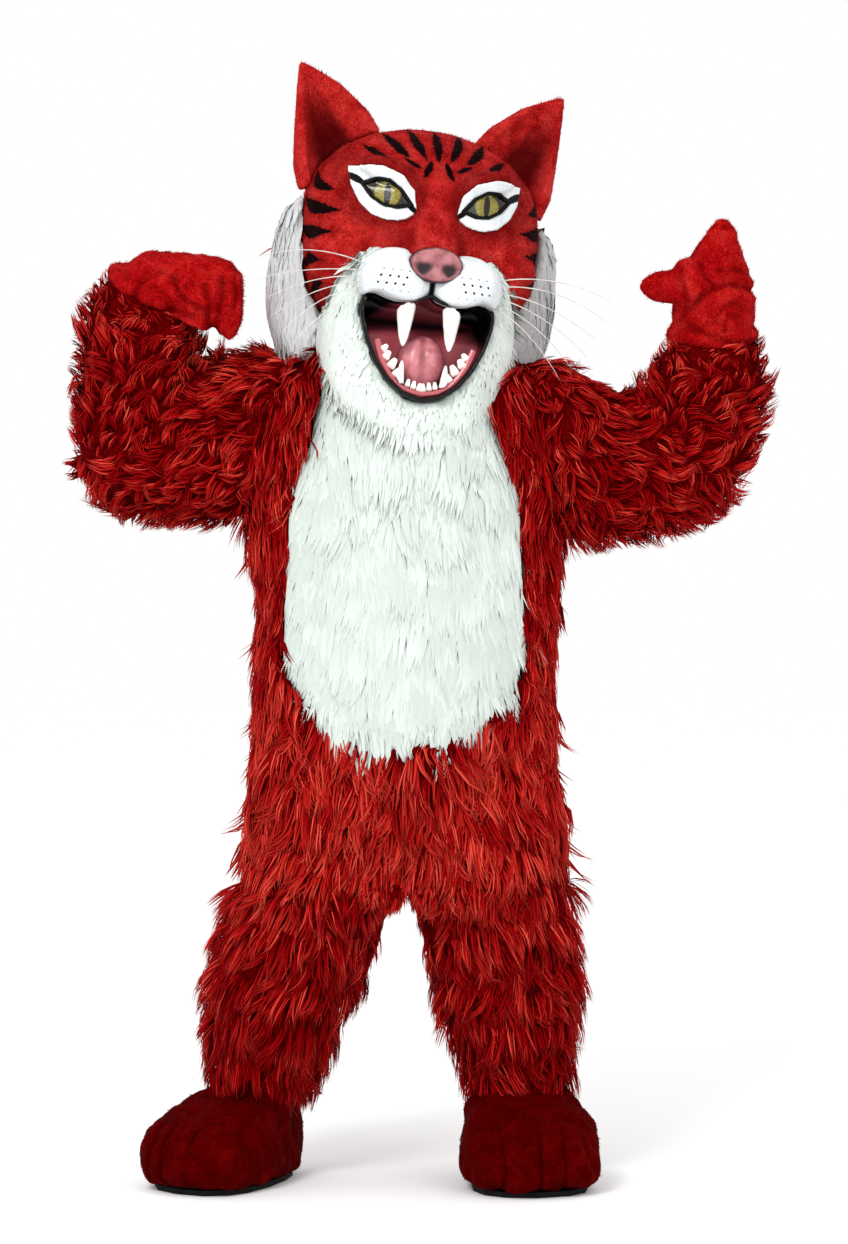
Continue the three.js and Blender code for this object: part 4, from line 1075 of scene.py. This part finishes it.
eyeParts = [
    # node, part, form, finish, slot and fill
    ("eye_patch_", "patch", {"voxel": 0.0024, "softening": 5, "swell": 0.0008}, patchPlush, "white_plush", 0.5),
    ("eye_rim_", "lid", {"voxel": 0.0017, "softening": 6, "swell": 0.0012}, lidVinyl, "black_vinyl", None),
    ("eye_", "dome", {"voxel": 0.0017, "softening": 10}, eyeVinyl, "eye_vinyl", None),
]
for side in ("left", "right"):
    for nodeStart, part, form, finish, slotName, fill in eyeParts:
        piece = formFrom([nodeStart + side], camelCase("eye_" + side + "_" + part), **form)
        shapeFace(piece)
        settle(piece, finish, slotName, nodeStart + side, fill=fill)

noseSettings = {"form": {"voxel": 0.0024, "softening": 4}, "nostril": (0.022, -0.176, -0.04), "radius": 0.0135,
                "deep": 0.012}
nosePad = formFrom(["nose"], "nosePad", **noseSettings["form"])
local = intoHead(readPoints(nosePad)[0])
x, y, z = local.T
shade = np.zeros(len(local))
for sign in (-1, 1):
    acrossAt, _, highAt = np.array(noseSettings["nostril"]) * (sign, 1, 1)
    away = np.hypot((x - acrossAt) / 1.3, z - highAt - 0.35 * np.abs(x - acrossAt))
    dip = np.exp(-(away / noseSettings["radius"]) ** 2) * (y < -0.15)
    y += dip * noseSettings["deep"]
    shade = np.maximum(shade, smoothStep(0.3, 0.8, dip))
# the groove below it, and its dark edge
y += 0.0025 * np.exp(-(x / 0.003) ** 2) * (z < -0.03)
shade = np.maximum(shade, smoothStep(0.82, 0.96, np.hypot(x / 0.049, (z + 0.03) / 0.031)))
writePoints(nosePad, outOfHead(local))
keepFloats(nosePad, "shade", shade)
settle(nosePad, noseVinyl, "nose_pink", "nose")

# the mouth's lining is black at the lips and flesh pink inside
liningForm = {"voxel": 0.003, "softening": 4, "thinned": 0.3}
lining = formFrom(["mouth_lining"], "mouthLining", **liningForm)
x, y, z = inHead(readPoints(lining)[0])
inside = np.hypot(x / 0.104, (z + 0.168) / 0.09)
keepFloats(lining, "shade", smoothStep(-0.132, -0.116, y) * smoothStep(1.02, 0.86, inside))
settle(lining, lipVinyl, "black_vinyl", "mouth_lining")

tongueSettings = {"form": {"voxel": 0.003, "softening": 8}, "groove": 0.006, "wide": 0.007}
tongue = formFrom(["tongue"], "tonguePad", **tongueSettings["form"])
local = intoHead(readPoints(tongue)[0])
x, y, z = local.T
dip = np.exp(-(x / tongueSettings["wide"]) ** 2) * smoothStep(-0.245, -0.22, z)
y += tongueSettings["groove"] * dip * (y < -0.12)
writePoints(tongue, outOfHead(local))
keepFloats(tongue, "shade", np.maximum(dip * 0.7, smoothStep(-0.135, -0.105, y)))
settle(tongue, tongueVinyl, "mouth_pink", "tongue")

toothForms = {
    "fang": {"voxel": 0.0017, "softening": 6, "thinned": 0.6, "swell": 0.0024},
    "canine": {"voxel": 0.0011, "softening": 6, "thinned": 0.6, "swell": 0.001},
}
for kind, form in toothForms.items():
    for side in ("left", "right"):
        name = kind + "_" + side
        fang = formFrom([name], camelCase(name + "_resin"), **form)
        keepFloats(fang, "shade", np.zeros(len(fang.data.vertices)))
        settle(fang, toothResin, "tooth", name)

# small teeth stand along the jaw on a gum: one tooth is modelled and copied
jawTeeth = {
    "line": [(-84, -162), (-72, -196), (-42, -237), (0, -249), (42, -237), (72, -196), (84, -162)], "y": -146,
    # how far along the jaw from its middle, width, height, thickness
    "teeth": [(5.2, 10, 15, 8), (15.6, 10, 15, 8), (26, 9.5, 14, 8), (57, 15, 17, 11), (73.5, 16, 20, 12),
              (91, 15, 17, 11), (106.5, 13, 14, 10)],
    "gum": {"voxel": 0.0018, "softening": 5, "thinned": 0.35, "swell": -0.0016},
}
bpy.ops.object.select_all(action="DESELECT")
bpy.ops.mesh.primitive_cube_add(size=1.0, location=(0, 0, 0.5))
tooth = bpy.context.object
bpy.ops.object.transform_apply(location=True)
edited(tooth, bpy.ops.mesh.subdivide, number_cuts=2)
shaped = readPoints(tooth)[0]
# a crown narrows and rounds over towards its biting edge
shaped[:, :2] *= (1 - 0.5 * smoothStep(0.2, 1.0, shaped[:, 2]))[:, None]
writePoints(tooth, shaped)
finishWith(tooth, "SUBSURF", levels=1, render_levels=1)
bpy.ops.object.shade_smooth()
crownPlaces = readPoints(tooth)[0]
gum = formFrom(["teeth_lower"], "lowerTeeth", **jawTeeth["gum"])
keepFloats(gum, "shade", np.ones(len(gum.data.vertices)))
jaw = np.array([(x / 1000, jawTeeth["y"] / 1000, z / 1000) for x, z in jawTeeth["line"]])
runs = np.concatenate([[0], np.cumsum(np.linalg.norm(np.diff(jaw, axis=0), axis=1))])


def jawAt(distance):
    return np.array([np.interp(distance, runs, jaw[:, axis]) for axis in range(3)])


crowns = []
for distance, wide, tall, thick in jawTeeth["teeth"]:
    for sign in (-1, 1):
        at = runs[-1] / 2 + sign * distance / 1000
        foot = jawAt(at)
        ahead = jawAt(at + 0.002) - foot
        ahead /= np.linalg.norm(ahead)
        # up from the jaw, leaning in and a little forward
        rise = np.array([-ahead[2], 0.0, ahead[0]]) * 0.75 + np.array([0, -0.1, 0.6])
        rise /= np.linalg.norm(rise)
        thickness = np.cross(ahead, rise)
        thickness /= np.linalg.norm(thickness)
        sizes = np.array([np.cross(rise, thickness) * wide, thickness * thick, rise * tall]) / 1000
        crown = placed("crown", tooth.data.copy())
        writePoints(crown, outOfHead(foot + rise * 0.003 + crownPlaces @ sizes))
        keepFloats(crown, "shade", 0.55 * smoothStep(0.32, 0.12, crownPlaces[:, 2]))
        crowns.append(crown)
bpy.data.objects.remove(tooth)
only(gum)
for crown in crowns:
    crown.select_set(True)
bpy.ops.object.join()
settle(gum, toothResin, "tooth", "teeth_lower")
edited(gum, bpy.ops.mesh.normals_make_consistent, inside=False)

# whiskers bow up and then sag towards their tips
whiskerSettings = {"steps": 11, "width": 0.0026, "bow": 0.07, "sag": 0.05, "vary": 0.03}
rng = np.random.default_rng(71)
whiskerNames = sorted(name for name in nodes if name.startswith("whisker"))
spines = []
for name in whiskerNames:
    ends = readPoints(nodes[name])[0]
    order = np.argsort(np.abs(ends[:, 0] - headSeat[0]))
    root, tip = ends[order[:5]].mean(0), ends[order[-5:]].mean(0)
    s = np.linspace(0, 1, whiskerSettings["steps"])[:, None]
    long = np.linalg.norm(tip - root)
    bow = (whiskerSettings["bow"] + rng.normal(0, whiskerSettings["vary"])) * 4 * s * (1 - s)
    spines.append(root + (tip - root) * s - long * down * bow + long * whiskerSettings["sag"] * down * s ** 3)
spines = np.array(spines)
ways = unit(spines[:, -1] - spines[:, 0])
sides = unit(np.cross(ways, down))
taper = np.concatenate([[0], np.linspace(1.0, 0.4, whiskerSettings["steps"] - 2), [0]])
widths = np.tile(whiskerSettings["width"] * taper, (len(spines), 1))
ups = unit(np.cross(ways, sides))
whiskers = strandMesh([(spines, sides, ups, ups, widths, np.ones(len(spines)))], "whiskers", 1.6)
settle(whiskers, whiskerNylon, "whisker", *whiskerNames)
print("head made")


def jawFlow(points, ups, ways):
    # out and down from the mouth
    x, _, z = intoHead(points).T
    out = unit(np.stack([x * 1.1, np.zeros(len(points)), z + 0.13], axis=1))
    out *= smoothStep(0.06, 0.2, np.hypot(x, z + 0.15))[:, None]
    return out @ headTurn.T * 0.7 + down * 0.9


def hangFlow(points, ups, ways):
    return down + ups * np.array([0.35, 0.35, 0.0])


def fromMouth(x, z):
    # 1 on an oval round the lips
    return np.hypot(x / 0.118, (z + 0.16) / 0.108)


def jawLocal(points):
    # short beside the lip and where it meets the chest
    x, y, z = inHead(points)
    near = smoothStep(1.35, 0.95, fromMouth(x, z)) * smoothStep(-0.06, -0.12, y)
    low = smoothStep(-0.24, -0.3, z)
    return (1 - 0.62 * near) * (1 - 0.2 * low), -0.12 * low, 0.0, 0.0


def jawKeep(points, normals):
    # no roots on the edge that the lip covers
    x, y, z = inHead(points)
    return (fromMouth(x, z) >= 0.86) | (y >= -0.08)


def underNape(points):
    # the bottom of the ruffs behind, which the nape covers
    x, y, z = inHead(points)
    return (x < 0.18) & (y > 0.05) & (z < -0.08)


def ruffKeep(points, normals):
    return ~underNape(points)


def ruffFolds(points):
    # tucked in there
    return -0.014 * underNape(points)


# the chin's white is painted lighter than the belly's (tone 0.8 against 0.25), as painted light against the shade
# under the chin
jawStyle = dict(bellyStyle, gap=0.0062, length=0.05, lift=0.07, width=0.009, fineWidth=0.0036, strands=2,
                gather=0.08, stray=0.09, bend=0.07, facing=-0.15, tone=0.8, local=jawLocal)
ruffStyle = dict(bellyStyle, gap=0.0072, width=0.011, length=0.062, lift=0.05, bend=0.04, droop=0.0, gather=0.25,
                 facing=-0.45, least=-0.7, soft=0.8, tone=0.5, local=None)
napeStyle = dict(backStyle, length=0.046, lift=0.2, least=-0.8, local=None)
headPanels = [
    # the columns are suitPanels' own
    ("chin_fur", headLine, jawStyle, jawFlow, None, 31, None, whiteShag, jawKeep),
    ("ruff_left", headLine, ruffStyle, hangFlow, ruffFolds, 32, None, ruffShag, ruffKeep),
    ("ruff_right", headLine, ruffStyle, hangFlow, ruffFolds, 33, None, ruffShag, ruffKeep),
    ("nape_fur", headLine, napeStyle, hangFlow, None, 34, None, redShag, None),
]
for panel in headPanels:
    dressPanel(*panel)
print("jaw, ruffs and nape dressed")

# mitts and feet: short plush, loose over the hand and firm over the foot
mittLines = {
    "right": [(-0.456, -0.06, 0.11), (-0.438, -0.072, 0.16), (-0.42, -0.08, 0.172), (-0.385, -0.086, 0.16),
              (-0.345, -0.088, 0.149), (-0.29, -0.088, 0.143)],
    "left": [(0.53, -0.05, 0.03), (0.533, -0.06, 0.08), (0.534, -0.074, 0.152), (0.538, -0.078, 0.192),
             (0.547, -0.08, 0.262)],
}
# folds and finger creases, drawn in X and Z in millimetres: line, width, and height above or below the cloth
mittStrokes = {
    "right": [
        ([(-421, 188), (-474, 166), (-482, 137), (-462, 106), (-421, 88)], 8, 5),
        ([(-408, 182), (-448, 164), (-462, 138), (-446, 110), (-404, 90)], 6, -6),
        ([(-394, 182), (-434, 166), (-448, 144), (-436, 116), (-386, 90)], 7, 5),
        ([(-392, 172), (-384, 141), (-342, 114), (-331, 84)], 5, -7),
        ([(-378, 160), (-366, 138), (-346, 124)], 8, 4),
        ([(-341, 158), (-332, 130), (-336, 104)], 5, -6),
        ([(-310, 168), (-310, 140), (-318, 112), (-324, 84)], 5, -7),
        ([(-326, 160), (-322, 130)], 7, 4),
        ([(-290, 178), (-286, 141), (-296, 108)], 5, -4),
        ([(-404, 118), (-376, 108), (-352, 104)], 5, -5),
    ],
    "left": [
        ([(540, 186), (560, 189), (588, 183)], 5, -6),
        ([(536, 176), (560, 178), (590, 172)], 7, 4),
        ([(487, 121), (517, 149), (556, 162), (598, 156)], 6, -7),
        ([(492, 110), (520, 136), (558, 149), (598, 142)], 8, 4),
        ([(530, 96), (544, 122), (564, 131), (590, 117)], 5, -5),
        ([(548, 84), (556, 108), (572, 112), (584, 98)], 5, -4),
        ([(480, 94), (521, 75), (564, 58), (602, 66)], 7, -6),
        ([(476, 82), (516, 60), (560, 44), (604, 50)], 9, 5),
        ([(470, 190), (475, 157), (484, 130), (476, 104)], 5, -7),
        ([(504, 200), (512, 176), (530, 158)], 5, -5),
        ([(546, 232), (552, 206), (556, 190)], 8, 3),
    ],
}
mittSettings = {"form": {"voxel": 0.003, "softening": 11}, "thinned": 0.22}
mittNap = {"gap": 0.0048, "length": 0.0095, "width": 0.0017, "lift": 0.34, "liftVary": 0.18, "swirl": 0.5,
           "swirlSize": 0.05, "stray": 0.3, "mottle": 0.03, "facing": -0.1}


def mittRelief(points):
    return strokeDepth(points[:, [0, 2]], mittStrokes[sideOf(points)])


# painted shade, darker down in the hand's creases
def mittCreaseShade(points, ups):
    return 0.4 * np.clip(-mittRelief(points) / 0.006, 0, 1)


def mittNapFlow(points, ups, ways):
    # along the hand
    return ways


for side in ("left", "right"):
    line = mittLines[side]
    mitt = formFrom(["mitt_" + side], camelCase("mitt_" + side + "_plush"), **mittSettings["form"])
    # both walls of the hollow mitt are pressed in or out together
    places, normals = readPoints(mitt)
    depths = mittRelief(places) + 0.0012 * waves(places, 0.03, 51)
    writePoints(mitt, places + facingOut(places, normals, line)[1] * depths[:, None])
    finishWith(mitt, "DECIMATE", ratio=mittSettings["thinned"])
    keepFloats(mitt, "crease", mittCreaseShade(*readPoints(mitt)))
    settle(mitt, mittPlush, "red_plush", "mitt_" + side, fill=0.5)
    nap = growNap(camelCase("mitt_" + side + "_nap"), mitt, line, mittNap, mittNapFlow, 52, "crease", mittCreaseShade)
    settle(nap, mittPlush, "red_plush")

# a foot cover: level rings from under the toes up into the leg, each about its own middle
footRings = [
    # height, how far ahead of the ankle, half width and half depth in millimetres, and its share of the leg's middle
    (1.5, 62, 4, 6, 0), (1.0, 64, 60, 110, 0), (1.5, 64, 88, 146, 0), (9, 66, 99, 162, 0), (30, 67, 104, 168, 0),
    (58, 65, 104, 167, 0), (86, 58, 100, 158, 0), (110, 44, 93, 138, 0), (128, 26, 85, 112, 0.1),
    (143, 8, 75, 86, 0.6), (158, -6, 69, 73, 1), (171, -10, 67, 71, 1),
]
feet = {
    # ankle, turn about Z, broadening, the leg's middle, and where toe seams run, in millimetres across the foot
    "right": {"ankle": (-264, 2), "turn": -0.62, "broad": 1.0, "leg": (-250, 12), "seams": (-58, -22, 34)},
    "left": {"ankle": (198, 2), "turn": 0.14, "broad": 1.07, "leg": (200, 12), "seams": (-66, 0, 46)},
}
footSettings = {"around": 40, "corner": 2.4, "taper": 0.32, "base": -1.3757, "wall": 0.005, "thinned": 0.45,
                "seamWide": 3.2, "seamDeep": 5.5, "toeHole": 0.012, "hem": -1.225, "soleEdge": -1.372}
footNap = dict(mittNap, length=0.0085, width=0.0019, lift=0.24, swirl=0.25, gap=0.0053, facing=0.1)


def footFrame(side):
    turn = feet[side]["turn"]
    return np.array([math.cos(turn), math.sin(turn)]), np.array([-math.sin(turn), math.cos(turn)])


def footRing(side, rise, ahead, wide, deep, share):
    foot, count = feet[side], footSettings["around"]
    across, back = footFrame(side)
    angles = np.linspace(0, 2 * math.pi, count, endpoint=False)
    power = 2 / footSettings["corner"]
    u = np.sign(np.cos(angles)) * np.abs(np.cos(angles)) ** power * wide * foot["broad"]
    v = np.sign(np.sin(angles)) * np.abs(np.sin(angles)) ** power * deep
    # narrower at the heel
    u = u * (1 - footSettings["taper"] * v / deep * (1 - share))
    middle = np.array(foot["ankle"]) * (1 - share) + np.array(foot["leg"]) * share
    middle = middle - back * ahead * (1 - share)
    flat = middle + u[:, None] * across + v[:, None] * back
    return np.column_stack([flat / 1000, np.full(count, footSettings["base"] + rise / 1000)])


def toeSeams(side, points):
    # seams up over the toes, fading out on the instep
    foot = feet[side]
    across, back = footFrame(side)
    flat = points[:, :2] * 1000 - np.array(foot["ankle"])
    u, v = flat @ across, flat @ back
    rise = (points[:, 2] - footSettings["base"]) * 1000
    fade = smoothStep(-60, -120, v) * smoothStep(118, 88, rise) * smoothStep(1, 8, rise)
    return sum(np.exp(-((u - at * (1 + 0.0012 * (v + 150))) / footSettings["seamWide"]) ** 2)
               for at in foot["seams"]) * fade


# painted shade along the toe seams
def footCreaseShade(points, ups):
    return 0.8 * toeSeams(sideOf(points), points)


def footNapFlow(points, ups, ways):
    # forward to the toes and down
    _, back = footFrame(sideOf(points))
    return np.tile([-back[0], -back[1], -0.35], (len(points), 1))


def footNapKeep(points, ups):
    # none inside the leg or on the sole
    return (points[:, 2] < footSettings["hem"]) & (points[:, 2] > footSettings["soleEdge"])


for side in ("left", "right"):
    rings = np.stack([footRing(side, *row) for row in footRings])
    rows, around = rings.shape[:2]
    # a grid rolled into a sock
    bpy.ops.object.select_all(action="DESELECT")
    bpy.ops.mesh.primitive_grid_add(x_subdivisions=around, y_subdivisions=rows - 1, size=2)
    foot = bpy.context.object
    foot.name = camelCase("foot_" + side + "_plush")
    grid = readPoints(foot)[0]
    column = np.rint((grid[:, 0] + 1) / 2 * around).astype(int) % around
    row = np.rint((grid[:, 1] + 1) / 2 * (rows - 1)).astype(int)
    writePoints(foot, rings[row, column])
    edited(foot, bpy.ops.mesh.remove_doubles, threshold=0.0004)
    edited(foot, bpy.ops.mesh.normals_make_consistent, inside=False)
    # the sock's foot end is closed under the sole
    bpy.ops.object.mode_set(mode="EDIT")
    bpy.ops.mesh.select_all(action="DESELECT")
    bpy.ops.object.mode_set(mode="OBJECT")
    middle = rings[0].mean(0)
    for vertex in foot.data.vertices:
        vertex.select = (vertex.co - Vector(middle)).length < footSettings["toeHole"]
    bpy.ops.object.mode_set(mode="EDIT")
    bpy.ops.mesh.merge(type="CENTER")
    bpy.ops.object.mode_set(mode="OBJECT")
    finishWith(foot, "SUBSURF", levels=2, render_levels=2)
    places, normals = readPoints(foot)
    seams = toeSeams(side, places)
    plump = 0.002 * waves(places, 0.07, 61) + 0.0015 * waves(places, 0.03, 62)
    writePoints(foot, places - normals * (seams * footSettings["seamDeep"] / 1000 - plump)[:, None])
    finishWith(foot, "SOLIDIFY", thickness=footSettings["wall"], offset=-1)
    finishWith(foot, "DECIMATE", ratio=footSettings["thinned"])
    bpy.ops.object.shade_smooth()
    keepFloats(foot, "crease", footCreaseShade(*readPoints(foot)))
    foot.data.materials.clear()
    settle(foot, footPlush, "dark_plush", "foot_" + side, fill=0.7)
    # its middle line: down the leg, then forward along the foot
    _, back = footFrame(side)
    ankle = np.array([*feet[side]["ankle"], 0]) / 1000
    line = [ankle + (0, 0, -1.2), ankle + (0, 0, -1.3), ankle - np.array([*back, 0]) * 0.13 + (0, 0, -1.33)]
    nap = growNap(camelCase("foot_" + side + "_nap"), foot, line, footNap, footNapFlow, 63, "crease", footCreaseShade,
                  footNapKeep)
    settle(nap, footPlush, "dark_plush")
    nodes["sole_" + side].data.materials.clear()
    nodes["sole_" + side].data.materials.append(soleRubber)

# the placket lies under the edges of the back opening
placketSettings = {"form": {"voxel": 0.0025, "softening": 2, "thinned": 0.15}, "flat": (0.042, 0.78)}
placket = formFrom(["back_placket"], "backPlacketCloth", **placketSettings["form"])
# its cloth is the red backing, painted dark as shade
settle(placket, redBacking, "red_fur", "back_placket")
print("mitts and feet made")

# level with the middle of the costume, in metres: how far back, how tall the view is there, and where it points
studio = {"back": 5.5, "tall": 2.177, "sensor": 36, "x": 0.03325, "z": -0.41475, "floor": -1.3855}
cameraData = bpy.data.cameras.new("studioCamera")
cameraData.sensor_width = studio["sensor"]
cameraData.lens = studio["sensor"] * studio["back"] / studio["tall"]
camera = placed("studioCamera", cameraData)
camera.location = (studio["x"], -studio["back"], studio["z"])
camera.rotation_euler = (math.radians(90), 0, 0)
bpy.context.scene.camera = camera

bpy.ops.object.select_all(action="DESELECT")
bpy.ops.mesh.primitive_plane_add(size=60, location=(0, 0, studio["floor"]))
floor = bpy.context.object
floor.name = "studioFloor"
# White paper roll, matt and even.
paper, tree = material("studioPaper")
skin = node(tree, "BsdfPrincipled", {"Base Color": linear("#FFFFFF"), "Roughness": 0.95, "Specular IOR Level": 0.0})
node(tree, "OutputMaterial", {"Surface": skin})
floor.data.materials.append(paper)

world = bpy.data.worlds.new("studioWorld")
bpy.context.scene.world = world
world.use_nodes = True
world.node_tree.nodes.clear()
glow = node(world.node_tree, "Background", {"Color": (1, 1, 1, 1), "Strength": 1.0})
node(world.node_tree, "OutputWorld", {"Surface": glow})

studioLights = [
    # name, place, aimed at, size, watts
    ("keyLight", (-1.5, -3.2, 2.2), (0, 0, 0.0), 1.4, 90),
    ("fillLight", (2.4, -3.4, 0.9), (0, 0, -0.2), 2.4, 25),
]
for name, place, aim, size, watts in studioLights:
    lamp = bpy.data.lights.new(name, "AREA")
    lamp.size = size
    lamp.energy = watts
    holder = placed(name, lamp)
    holder.location = place
    holder.rotation_euler = (Vector(aim) - Vector(place)).to_track_quat("-Z", "Y").to_euler()
bpy.context.scene.view_settings.view_transform = "Standard"
print("studio set")

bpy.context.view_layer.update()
shown = [obj for obj in bpy.context.scene.objects if obj.type == "MESH" and not obj.hide_render and obj != floor]
print("triangles:", sum(len(f.vertices) - 2 for obj in shown for f in obj.data.polygons))
